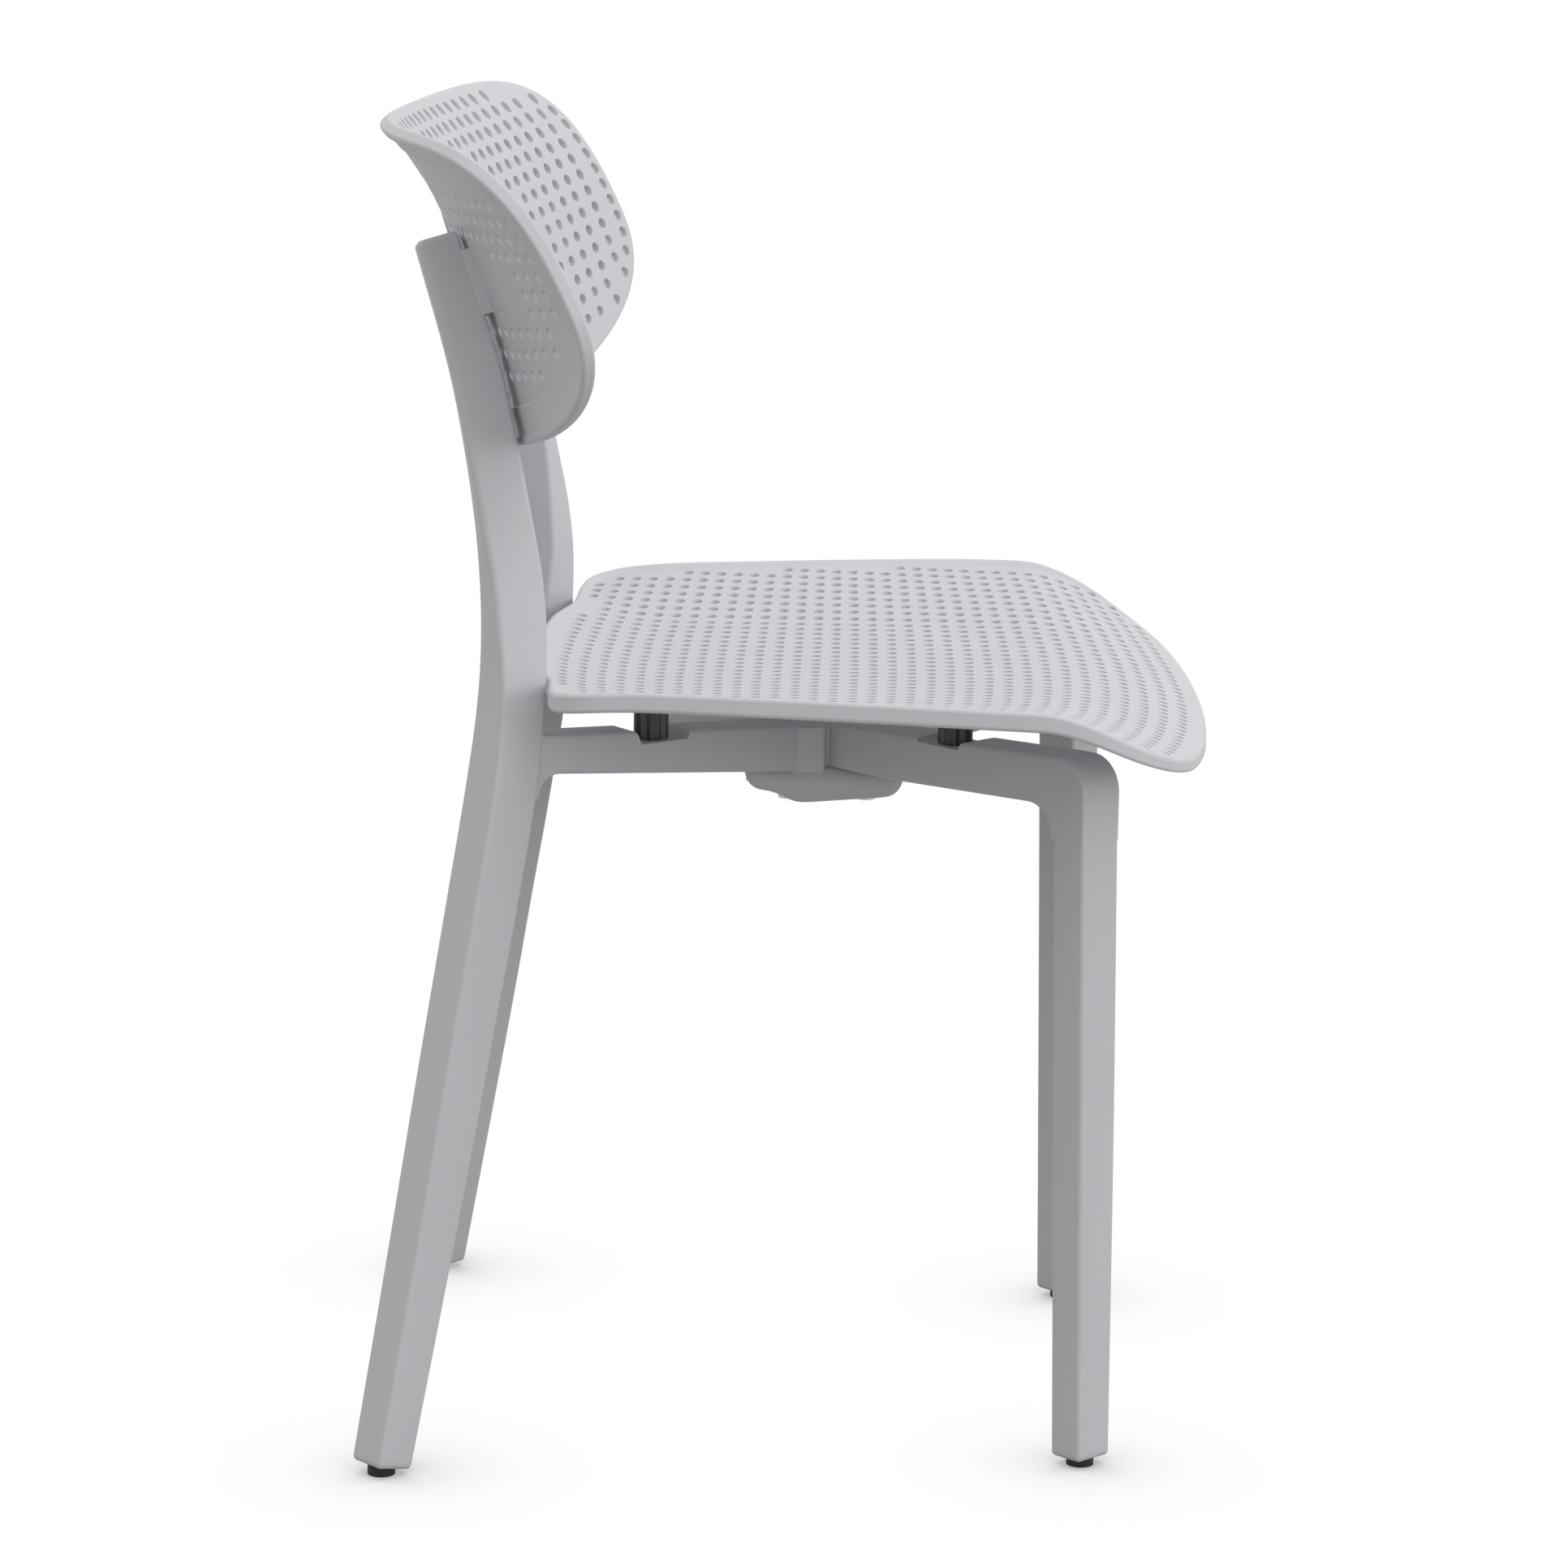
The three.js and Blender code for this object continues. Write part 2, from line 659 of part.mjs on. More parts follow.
function seatHeight(x, y) {
  const side = Math.abs(y);
  const inner = seatDish.foldRise * (Math.min(side, seatDish.foldSide) / seatDish.foldSide) ** 2;
  const wingSlope = seatDish.wingSlopeShare * (1 - x / seatDish.wingFade);
  const outer = wingSlope * Math.max(0, side - seatDish.foldSide);
  const fall = Math.max(0, (x - seatFall.start) / seatFall.length);
  const rise = Math.max(0, (-x - seatRise.start) / seatRise.length) ** 2;
  const ends = seatRise.lift * rise - outer * seatRise.wingDropShare * rise - seatFall.drop * fall ** 2;
  return seat.middleHeight + (inner + outer) * seatFlattening(x) + ends;
}

function seatPlan({ radius, angle }) {
  const reach = seatReach(angle) * radius;
  return { x: seatMiddle + reach * Math.cos(angle), y: reach * Math.sin(angle) };
}

function seatSurface(place, face) {
  const { x, y } = seatPlan(place);
  const rim = rimShare(place.radius);
  const lip = (1 - face) * seat.rimLift * rim * seatFlattening(x);
  const thickness = seat.thickness + (seat.rimThickness - seat.thickness) * rim;
  return new THREE.Vector3(x, y, seatHeight(x, y) + lip - face * thickness);
}

// Upright prisms at every place of a list, as one solid.
function uprightPrisms(places, radius, bottom, top, sideCount) {
  const prisms = places.map(({ x, y }) => {
    const geometry = new THREE.CylinderGeometry(radius, radius, top - bottom, sideCount);
    return geometry.rotateX(Math.PI / 2).translate(x, y, (bottom + top) / 2);
  });
  return solidOf(mergeGeometries(prisms));
}

function seatHolePlaces() {
  const places = [];
  const rows = Math.ceil(seatHoleSqueeze.side / seatHoles.acrossPitch);
  const reach = Math.ceil(seatHoleSqueeze.side / seatHoles.alongPitch);
  for (let row = -rows; row <= rows; row++) {
    const y = row * seatHoles.acrossPitch;
    const squeeze = 1 - seatHoleSqueeze.share * (y / seatHoleSqueeze.side) ** 2;
    for (let step = -reach; step <= reach; step++) {
      const x = seatHoles.firstForward + step * seatHoles.alongPitch * squeeze;
      const edge = seatReach(Math.atan2(y, x - seatMiddle)) - Math.hypot(y, x - seatMiddle);
      const overBoss = seatFixings.some((fixing) => {
        return Math.hypot(x + fixing.back, y - fixing.side) < boss.radius + 2 * seatHoles.radius;
      });
      if (edge >= seatHoles.margin && !overBoss) places.push({ x, y });
    }
  }
  return places;
}

function seatShellSolid() {
  const shell = sheet(seatCells.deep, seatCells.wide, seatSurface);
  const bosses = seatFixings.map((fixing) => {
    const top = seatHeight(-fixing.back, fixing.side) - seat.thickness / 2;
    return cylinder(boss.radius, boss.bottom, top, -fixing.back, fixing.side);
  });
  const bores = seatFixings.map((fixing) =>
    cylinder(seatInsert.radius + fitGap, 0, seatInsert.top + fitGap, -fixing.back, fixing.side),
  );
  const top = seat.middleHeight + boss.bottom;
  const holes = uprightPrisms(seatHolePlaces(), seatHoles.radius, 0, top, seatHoles.sides);
  return less(joined([shell, ...bosses]), [...bores, holes]);
}

// Back shell
function backX(y, z) {
  const drop = backTopHeight - z;
  const spine = back.lean * drop + back.flare * (1 - Math.exp(-drop / back.flareLength));
  const wrap = back.wrap + (back.wrapGrowth * drop) / back.wrapHeight;
  return -back.topBack + spine + wrap * (Math.abs(y) / back.wrapSide) ** back.wrapPower;
}

function backPlan({ radius, angle }) {
  const above = Math.sin(angle) > 0;
  const reach = superellipse(angle, above ? back.topFullness : back.bottomFullness) * radius;
  const y = reach * Math.cos(angle) * back.halfWidth;
  const rise = reach * Math.sin(angle);
  const lift = above ? back.cornerLift * rise * (y / back.halfWidth) ** 2 : 0;
  return { y, z: back.middleHeight + rise * (above ? back.riseUp : back.riseDown) + lift };
}

function backNormal(y, z) {
  const acrossSlope = (backX(y + slopeStep, z) - backX(y - slopeStep, z)) / (2 * slopeStep);
  const upSlope = (backX(y, z + slopeStep) - backX(y, z - slopeStep)) / (2 * slopeStep);
  return new THREE.Vector3(1, -acrossSlope, -upSlope).normalize();
}

function backPoint(place, face, clearance) {
  const { y, z } = backPlan(place);
  const rim = rimShare(place.radius);
  const raised = (back.rimThickness - back.thickness) * rim;
  const offset = face * (back.thickness + clearance) - (1 - face) * (raised + clearance);
  return new THREE.Vector3(backX(y, z), y, z).addScaledVector(backNormal(y, z), offset);
}

function backShellSolid(clearance) {
  return sheet(backCells.wide, backCells.tall, (place, face) => backPoint(place, face, clearance));
}

// True where a hole may stand: inside the border of the back and clear of its fixings.
function isBackHolePlace(y, z) {
  const above = z > back.middleHeight;
  const fullness = above ? back.topFullness : back.bottomFullness;
  const tall = (above ? back.riseUp : back.riseDown) - backHoles.endBorder;
  const wide = back.halfWidth - backHoles.sideBorder;
  const rise = Math.abs(z - back.middleHeight);
  const inside = (Math.abs(y) / wide) ** fullness + (rise / tall) ** fullness < 1;
  const fixingInside = backBlock.side - backBlock.wide / 2 - backHoles.fixingGap;
  const fixingOutside = backClip.side + backClip.wide / 2 + backHoles.fixingGap;
  const besideFixing = Math.abs(y) > fixingInside && Math.abs(y) < fixingOutside;
  const levelWithFixing = Math.abs(z - backBlockHeight) < backBlock.tall / 2 + backHoles.fixingGap;
  return inside && !(besideFixing && levelWithFixing);
}

// Prisms that run forward through the back, as one solid.
function backHolesSolid() {
  const prisms = [];
  const rows = Math.floor((back.riseUp + back.riseDown) / backHoles.upPitch);
  const columns = Math.floor(back.halfWidth / backHoles.acrossPitch);
  for (let row = 0; row < rows; row++) {
    const z = backTopHeight - backHoles.firstBelowTop - row * backHoles.upPitch;
    for (let column = -columns; column < columns; column++) {
      const y = (column + 1 / 2) * backHoles.acrossPitch;
      if (!isBackHolePlace(y, z)) continue;
      const { radius, length, sides: sideCount } = backHoles;
      const prism = new THREE.CylinderGeometry(radius, radius, length, sideCount).rotateZ(Math.PI / 2);
      prisms.push(prism.translate(backX(y, z), y, z));
    }
  }
  return solidOf(mergeGeometries(prisms));
}

// Blocks that carry the back on the uprights
// The place and directions of an upright at one height: forward is square to its run.
function uprightFrame(side, height) {
  const tangent = barTangent(rearBar, height, side);
  const origin = barPoint(barStation(rearBar, height), side);
  const forward = new THREE.Vector3(1, 0, 0).addScaledVector(tangent, -tangent.x).normalize();
  const across = new THREE.Vector3().crossVectors(tangent, forward);
  return { origin, forward, across, tangent };
}

function placed(geometry, { origin, forward, across, tangent }) {
  const matrix = new THREE.Matrix4().makeBasis(forward, across, tangent).setPosition(origin);
  return solidOf(geometry.applyMatrix4(matrix));
}

function backBlockSolid(side, grownUpright, grownBack) {
  const frame = uprightFrame(side, backBlockHeight);
  const { reach, start, wide, tall } = backBlock;
  const geometry = new THREE.BoxGeometry(reach - start, wide, tall);
  geometry.translate((start + reach) / 2, 0, 0);
  const inward = side * backBlock.side - frame.origin.y;
  geometry.translate(0, inward, 0);
  const rough = placed(geometry, frame);
  const pieces = less(rough, [grownUpright, grownBack, ...backScrewCutters(side)]).decompose();
  return pieces.reduce((behind, piece) => (nearer(piece, behind) ? piece : behind));
}

// True where the first solid lies further back than the second.
function nearer(first, second) {
  return first.boundingBox().min[0] < second.boundingBox().min[0];
}

// A cylinder along the forward direction of an upright.
function forwardCylinder(radius, start, end, lift, frame) {
  const geometry = new THREE.CylinderGeometry(radius, radius, end - start, roundSegments);
  geometry.rotateZ(-Math.PI / 2);
  geometry.translate((start + end) / 2, 0, lift);
  return placed(geometry, frame);
}

const backScrewPlaces = { upper: 1, lower: -1 };

function backScrewSolid(side, place) {
  const frame = uprightFrame(side, backBlockHeight);
  const lift = place * backScrew.spread;
  const headEnd = backScrew.headHeight - backScrew.headBack;
  const head = forwardCylinder(backScrew.headRadius, -backScrew.headBack, headEnd, lift, frame);
  return head.add(forwardCylinder(backScrew.radius, -backScrew.headBack, backScrew.tip, lift, frame));
}

function backScrewCutters(side) {
  const frame = uprightFrame(side, backBlockHeight);
  const headEnd = backScrew.headHeight - backScrew.headBack + fitGap;
  return Object.values(backScrewPlaces).flatMap((place) => {
    const lift = place * backScrew.spread;
    return [
      forwardCylinder(backScrew.headRadius + fitGap, -backBlock.reach, headEnd, lift, frame),
      forwardCylinder(backScrewBore, -backBlock.reach, backScrew.tip + fitGap, lift, frame),
    ];
  });
}

// A box let into the rear face of the back, grown all round by a clearance.
function backClipBox(side, clearance) {
  const y = side * backClip.side;
  const z = back.middleHeight - backClip.belowMiddle;
  const normal = backNormal(y, z);
  const up = new THREE.Vector3(0, 0, 1).addScaledVector(normal, -normal.z).normalize();
  const across = new THREE.Vector3().crossVectors(up, normal);
  const origin = new THREE.Vector3(backX(y, z), y, z);
  const length = backClip.depth + backClip.proud + clearance;
  const geometry = new THREE.BoxGeometry(
    length,
    backClip.wide + 2 * clearance,
    backClip.tall + 2 * clearance,
  );
  geometry.translate(backClip.depth + clearance - length / 2, 0, 0);
  return placed(geometry, { origin, forward: normal, across, tangent: up });
}

// Lathed and ribbed small parts
function screwSolid(size, length) {
  const profile = [
    new THREE.Vector2(0, 0),
    new THREE.Vector2(size.headRadius, 0),
    new THREE.Vector2(size.headRadius, size.headHeight),
    new THREE.Vector2(size.radius, size.headHeight),
    new THREE.Vector2(size.radius, length),
    new THREE.Vector2(0, length),
  ];
  return new THREE.LatheGeometry(profile, roundSegments).rotateX(Math.PI / 2);
}

function seatScrewSolid(fixing) {
  const geometry = screwSolid(seatScrew, seatScrew.tip - seatScrew.headBottom);
  return solidOf(geometry.translate(-fixing.back, fixing.side, seatScrew.headBottom));
}

function hubBoltSolid(fixing) {
  const geometry = screwSolid(hubBolt, hubBolt.tip - hubBolt.headBottom);
  return solidOf(geometry.translate(-fixing.back, fixing.side, hubBolt.headBottom));
}

function insertSolid(size, fixing) {
  const outer = cylinder(size.radius, size.bottom, size.top, -fixing.back, fixing.side);
  return less(outer, [cylinder(fixingBore, 0, size.top + throughMargin, -fixing.back, fixing.side)]);
}

function seatPostSolid(fixing) {
  const points = [];
  for (let i = 0; i < 2 * post.ribs; i++) {
    const radius = i % 2 ? post.radius - post.ribDepth : post.radius;
    const angle = (i * Math.PI) / post.ribs;
    points.push(new THREE.Vector2(radius * Math.cos(angle), radius * Math.sin(angle)));
  }
  const bottom = post.bottom + fitGap;
  const geometry = new THREE.ExtrudeGeometry(new THREE.Shape(points), {
    depth: boss.bottom - fitGap - bottom,
    bevelEnabled: false,
  });
  const body = solidOf(geometry.translate(-fixing.back, fixing.side, bottom));
  return less(body, [cylinder(fixingBore, 0, boss.bottom + throughMargin, -fixing.back, fixing.side)]);
}

function glideSolid(stations, side) {
  const foot = barPoint(stations[0], side);
  const disc = cylinder(glide.radius, 0, glide.top, foot.x, foot.y);
  return disc.add(cylinder(glide.stemRadius, glide.top - glide.sink, glide.stemTop, foot.x, foot.y));
}

// Assembly
const chair = new THREE.Group();
chair.name = "nesting_chair";

function addPiece(name, made, finish) {
  const mesh = new THREE.Mesh(geometryOf(made), new THREE.MeshStandardMaterial(finishes[finish]));
  mesh.name = name;
  chair.add(mesh);
}

const bareBack = backShellSolid(0);
const clipPockets = Object.values(sides).map((side) => backClipBox(side, fitGap));
addPiece("rear_frame", rearFrameSolid(), "frame");
addPiece("front_frame", frontFrameSolid(), "frame");
addPiece("seat_shell", seatShellSolid(), "shell");
addPiece("back_shell", less(bareBack, [...clipPockets, backHolesSolid()]), "shell");

for (const fixing of seatFixings) {
  addPiece(`seat_post_${fixing.name}`, seatPostSolid(fixing), "post");
  addPiece(`seat_screw_${fixing.name}`, seatScrewSolid(fixing), "steel");
  addPiece(`seat_insert_${fixing.name}`, insertSolid(seatInsert, fixing), "brass");
}

for (const fixing of hubFixings) {
  addPiece(`hub_bolt_${fixing.name}`, hubBoltSolid(fixing), "steel");
  addPiece(`hub_insert_${fixing.name}`, insertSolid(hubInsert, fixing), "brass");
}

for (const [name, side] of Object.entries(sides)) {
  addPiece(`glide_rear_${name}`, glideSolid(rearBar, side), "glide");
  addPiece(`glide_front_${name}`, glideSolid(frontBar, side), "glide");
  const upright = bar(rearBar, rearBarRings, side, -1, fitGap);
  addPiece(`back_block_${name}`, backBlockSolid(side, upright, backShellSolid(fitGap)), "frame");
  addPiece(`back_clip_${name}`, bareBack.intersect(backClipBox(side, 0)), "shell");
  for (const [level, place] of Object.entries(backScrewPlaces)) {
    addPiece(`back_screw_${level}_${name}`, backScrewSolid(side, place), "steel");
  }
}

// The origin moves to the floor under the middle of the whole chair.
const middle = new THREE.Box3().setFromObject(chair).getCenter(new THREE.Vector3());
for (const mesh of chair.children) {
  mesh.position.x = -middle.x;
}

export default chair;
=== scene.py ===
"""Looks for the nesting chair: two crossed frames of moulded plastic, a perforated seat and back.

Everything is in metres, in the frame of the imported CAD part: X forward, Y to the sitter's left and
Z up. Shapes are worked out in hub coordinates, whose X starts under the middle of the hub.
"""

from __future__ import annotations

import json
import logging
import math
from collections.abc import Callable
from dataclasses import dataclass, field
from enum import Enum

import bmesh
import bpy
import numpy as np
from mathutils import Matrix, Vector
from mathutils.geometry import delaunay_2d_cdt

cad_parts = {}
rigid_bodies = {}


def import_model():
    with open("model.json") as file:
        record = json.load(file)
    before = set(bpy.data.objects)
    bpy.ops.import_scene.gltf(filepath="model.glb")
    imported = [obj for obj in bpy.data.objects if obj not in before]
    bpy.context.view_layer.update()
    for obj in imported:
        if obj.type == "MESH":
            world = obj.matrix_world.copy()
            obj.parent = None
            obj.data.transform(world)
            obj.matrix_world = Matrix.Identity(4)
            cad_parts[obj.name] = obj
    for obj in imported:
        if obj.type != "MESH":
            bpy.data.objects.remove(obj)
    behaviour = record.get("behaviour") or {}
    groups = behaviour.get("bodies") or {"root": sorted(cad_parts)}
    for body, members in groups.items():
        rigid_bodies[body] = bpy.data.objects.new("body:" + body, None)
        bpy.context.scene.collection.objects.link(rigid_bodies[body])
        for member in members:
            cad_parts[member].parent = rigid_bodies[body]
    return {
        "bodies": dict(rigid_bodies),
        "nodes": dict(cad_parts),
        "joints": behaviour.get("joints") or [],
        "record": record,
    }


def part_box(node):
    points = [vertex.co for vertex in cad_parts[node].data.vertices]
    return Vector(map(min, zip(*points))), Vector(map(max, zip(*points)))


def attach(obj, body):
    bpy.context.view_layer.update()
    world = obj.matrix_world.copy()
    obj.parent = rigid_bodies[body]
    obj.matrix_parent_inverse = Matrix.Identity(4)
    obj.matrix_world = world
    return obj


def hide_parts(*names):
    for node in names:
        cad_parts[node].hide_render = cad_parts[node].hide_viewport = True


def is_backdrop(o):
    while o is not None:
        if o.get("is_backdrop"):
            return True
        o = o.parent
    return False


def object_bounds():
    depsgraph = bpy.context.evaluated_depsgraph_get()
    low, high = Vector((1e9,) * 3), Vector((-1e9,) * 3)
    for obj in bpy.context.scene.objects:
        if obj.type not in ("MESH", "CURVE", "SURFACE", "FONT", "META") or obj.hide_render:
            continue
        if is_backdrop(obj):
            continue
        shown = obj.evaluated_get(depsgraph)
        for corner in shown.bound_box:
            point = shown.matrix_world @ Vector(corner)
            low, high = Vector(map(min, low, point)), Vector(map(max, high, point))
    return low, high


logging.basicConfig(level=logging.INFO, format="%(name)s: %(message)s")
log = logging.getLogger("chair")

MM = 0.001
MM_PER_METRE = 1000.0
WHITE = "FFFFFF"


class Face(Enum):
    """The two faces of a moulded sheet."""

    SHOWN = 0
    HIDDEN = 1


# Colours and node helpers


def linear(hex_colour: str) -> tuple[float, float, float, float]:
    """Turns an sRGB hex colour into linear red, green, blue and alpha.

    Args:
        hex_colour: six hex digits.

    Returns:
        Four floats, the last being 1.
    """
    channels = [int(hex_colour[i : i + 2], 16) / 255 for i in (0, 2, 4)]
    curve = [c / 12.92 if c <= 0.04045 else ((c + 0.055) / 1.055) ** 2.4 for c in channels]
    return (*curve, 1.0)


class NodeTree:
    """A small builder of shader nodes."""

    def __init__(self, tree: bpy.types.NodeTree) -> None:
        """Empties the node tree of a material or a world, and keeps it."""
        self.tree = tree
        tree.nodes.clear()

    def add(self, kind: str, values: dict | None = None, **properties: object) -> bpy.types.Node:
        """Adds one node.

        Args:
            kind: the node's type name without its ShaderNode prefix.
            values: input name or index to a constant or to an output socket.
            **properties: attributes to set on the node.

        Returns:
            The new node.
        """
        node = self.tree.nodes.new("ShaderNode" + kind)
        for name, value in properties.items():
            setattr(node, name, value)
        for key, value in (values or {}).items():
            if isinstance(value, bpy.types.NodeSocket):
                self.tree.links.new(value, node.inputs[key])
            else:
                node.inputs[key].default_value = value
        return node


# Materials


@dataclass(frozen=True)
class Finish:
    """A surface whose fine noise moves both its roughness and its height.

    Attributes:
        name: what it is and how its surface was made.
        colour: sRGB hex value.
        roughness: its middle value.
        roughness_spread: how far the noise moves it either way.
        grain_size: width of the grain.
        grain_height: height of the grain.
        grain_detail: how many finer layers the noise has.
    """

    name: str
    colour: str
    roughness: float
    roughness_spread: float
    grain_size: float
    grain_height: float
    grain_detail: float

    def own_inputs(self, nodes: NodeTree, place: bpy.types.NodeSocket) -> dict:
        """Inputs of the shader that only one kind of surface sets."""
        raise NotImplementedError

    def build(self) -> bpy.types.Material:
        """Builds the material.

        Returns:
            The finished material.
        """
        material = bpy.data.materials.new(self.name)
        material.use_nodes = True
        nodes = NodeTree(material.node_tree)
        place = nodes.add("TexCoord").outputs["Object"]
        scale = 1 / self.grain_size
        noise = nodes.add(
            "TexNoise", {"Vector": place, "Scale": scale, "Detail": self.grain_detail}
        )
        grain = noise.outputs["Fac"]
        low, high = self.roughness - self.roughness_spread, self.roughness + self.roughness_spread
        rough = nodes.add("MapRange", {0: grain, 3: low, 4: high})
        bump = nodes.add("Bump", {"Height": grain, "Distance": self.grain_height, "Strength": 1.0})
        shared = {"Roughness": rough.outputs[0], "Normal": bump.outputs["Normal"]}
        shader = nodes.add("BsdfPrincipled", shared | self.own_inputs(nodes, place))
        nodes.add("OutputMaterial", {"Surface": shader.outputs[0]})
        return material


@dataclass(frozen=True)
class MouldedPlastic(Finish):
    """Plastic moulded against a spark-eroded tool: an even, matt face with a faint, soft sheen.

    The real grain is about 0.1 mm wide. It is drawn coarser, so that it shows in the render.

    Attributes:
        blotch_size: width of the patches that are a little lighter or darker.
        blotch_detail: how many finer layers the patches have.
        blotch_share: how much lighter or darker they are.
        specular: level of the mirror reflection.
    """

    roughness: float = 0.55
    roughness_spread: float = 0.07
    grain_size: float = 0.9 * MM
    grain_height: float = 0.05 * MM
    grain_detail: float = 2.0
    blotch_size: float = 60 * MM
    blotch_detail: float = 3.0
    blotch_share: float = 0.02
    specular: float = 0.45

    def own_inputs(self, nodes: NodeTree, place: bpy.types.NodeSocket) -> dict:
        """The colour, which drifts between two near tones, and the mirror reflection.

        Args:
            nodes: the tree to add to.
            place: the Object coordinates.

        Returns:
            Input names to constants or sockets.
        """
        scale = 1 / self.blotch_size
        blotch = nodes.add(
            "TexNoise", {"Vector": place, "Scale": scale, "Detail": self.blotch_detail}
        )
        base = linear(self.colour)[:3]
        low = tuple(c * (1 - self.blotch_share) for c in base) + (1.0,)
        high = tuple(min(1.0, c * (1 + self.blotch_share)) for c in base) + (1.0,)
        tint = nodes.add("Mix", {0: blotch.outputs["Fac"], 6: low, 7: high}, data_type="RGBA")
        return {"Base Color": tint.outputs[2], "Specular IOR Level": self.specular}


@dataclass(frozen=True)
class PlatedMetal(Finish):
    """Turned metal: fine scratches that break up its bright reflections."""

    roughness: float = 0.35
    roughness_spread: float = 0.1
    grain_size: float = 0.4 * MM
    grain_height: float = 0.02 * MM
    grain_detail: float = 3.0

    def own_inputs(self, nodes: NodeTree, place: bpy.types.NodeSocket) -> dict:
        """The colour and the metal's reflection, the same all over."""
        return {"Base Color": linear(self.colour), "Metallic": 1.0}


# Curves and sheets

# Guards against a division by zero and an empty loop, and a limit on the memory of one step.
LEAST_DISTANCE = 1e-9
LEAST_POINTS = 8
POINTS_AT_ONCE = 4000


def root_distance(first: np.ndarray, second: np.ndarray) -> np.ndarray:
    """Square roots of the distances between matching points.

    Args:
        first: N by 2 points.
        second: N by 2 points.

    Returns:
        N by 1 values.
    """
    squared = ((first - second) ** 2).sum(1)
    return np.maximum(squared**0.25, LEAST_DISTANCE)[:, None]


def closed_curve(points: np.ndarray, per_span: int) -> np.ndarray:
    """A centripetal Catmull-Rom curve through a closed row of points.

    Each span from p1 to p2 is a cubic with p1, p2 and the two tangents that the neighbours p0 and
    p3 give when the parameter grows with the square root of the distance.

    Args:
        points: N by 2 points.
        per_span: samples on each span.

    Returns:
        N times per_span points by 2.
    """
    p0, p1 = np.roll(points, 1, 0), points
    p2, p3 = np.roll(points, -1, 0), np.roll(points, -2, 0)
    d0, d1, d2 = root_distance(p0, p1), root_distance(p1, p2), root_distance(p2, p3)
    t1 = ((p1 - p0) / d0 - (p2 - p0) / (d0 + d1) + (p2 - p1) / d1) * d1
    t2 = ((p2 - p1) / d1 - (p3 - p1) / (d1 + d2) + (p3 - p2) / d2) * d1
    t = (np.arange(per_span) / per_span)[None, :, None]
    c2, c3 = -3 * p1 + 3 * p2 - 2 * t1 - t2, 2 * p1 - 2 * p2 + t1 + t2
    found = p1[:, None] + t1[:, None] * t + c2[:, None] * t**2 + c3[:, None] * t**3
    return found.reshape(-1, 2)


def resampled(loop: np.ndarray, spacing: float) -> np.ndarray:
    """Even samples on a closed polyline.

    Args:
        loop: N by 2 points.
        spacing: the wanted distance between samples.

    Returns:
        M by 2 points.
    """
    ring = np.vstack([loop, loop[:1]])
    run = np.concatenate([[0], np.cumsum(np.linalg.norm(np.diff(ring, axis=0), axis=1))])
    count = max(LEAST_POINTS, int(round(run[-1] / spacing)))
    wanted = np.linspace(0, run[-1], count, endpoint=False)
    return np.stack([np.interp(wanted, run, ring[:, k]) for k in (0, 1)], 1)


def inward(loop: np.ndarray, distance: float) -> np.ndarray:
    """A closed polyline moved towards its inside along its normals.

    Args:
        loop: N by 2 points, anticlockwise.
        distance: how far.

    Returns:
        N by 2 points.
    """
    along = np.roll(loop, -1, 0) - np.roll(loop, 1, 0)
    along /= np.linalg.norm(along, axis=1)[:, None]
    return loop + distance * np.stack([-along[:, 1], along[:, 0]], 1)


def depth_inside(points: np.ndarray, loop: np.ndarray) -> np.ndarray:
    """Signed distance of points from a closed polyline, positive inside.

    Args:
        points: N by 2 points.
        loop: M by 2 points, anticlockwise.

    Returns:
        N distances.
    """
    a, b = loop, np.roll(loop, -1, 0)
    ab = b - a
    size = (ab**2).sum(1)
    out = np.empty(len(points))
    for start in range(0, len(points), POINTS_AT_ONCE):
        p = points[start : start + POINTS_AT_ONCE, None]
        t = np.clip(((p - a) * ab).sum(2) / size, 0, 1)
        gap = p - (a + t[..., None] * ab)
        dist = np.sqrt((gap**2).sum(2))
        up = (a[:, 1] <= p[..., 1]) & (b[:, 1] > p[..., 1])
        down = (a[:, 1] > p[..., 1]) & (b[:, 1] <= p[..., 1])
        side = ab[:, 0] * (p[..., 1] - a[:, 1]) - ab[:, 1] * (p[..., 0] - a[:, 0])
        winding = (up & (side > 0)).sum(1) - (down & (side < 0)).sum(1)
        out[start : start + POINTS_AT_ONCE] = np.where(winding != 0, 1, -1) * dist.min(1)
    return out


def quarter_drop(beyond: np.ndarray, radius: float) -> np.ndarray:
    """Drop of a quarter-round edge: its radius less the cosine of the place on its arc.

    Args:
        beyond: places beyond the arc's end, negative before it.
        radius: the arc's radius.

    Returns:
        Drops, from 0 one radius before the end to the radius at the end.
    """
    share = np.clip(1 + beyond / radius, 0, 1)
    return radius * (1 - np.sqrt(1 - share**2))


def soft_step(share: np.ndarray) -> np.ndarray:
    """A smooth step from 0 to 1 as a value runs from -1/2 to 1/2.

    Args:
        share: the values.

    Returns:
        The steps.
    """
    t = np.clip(share + 0.5, 0, 1)
    return t * t * (3 - 2 * t)


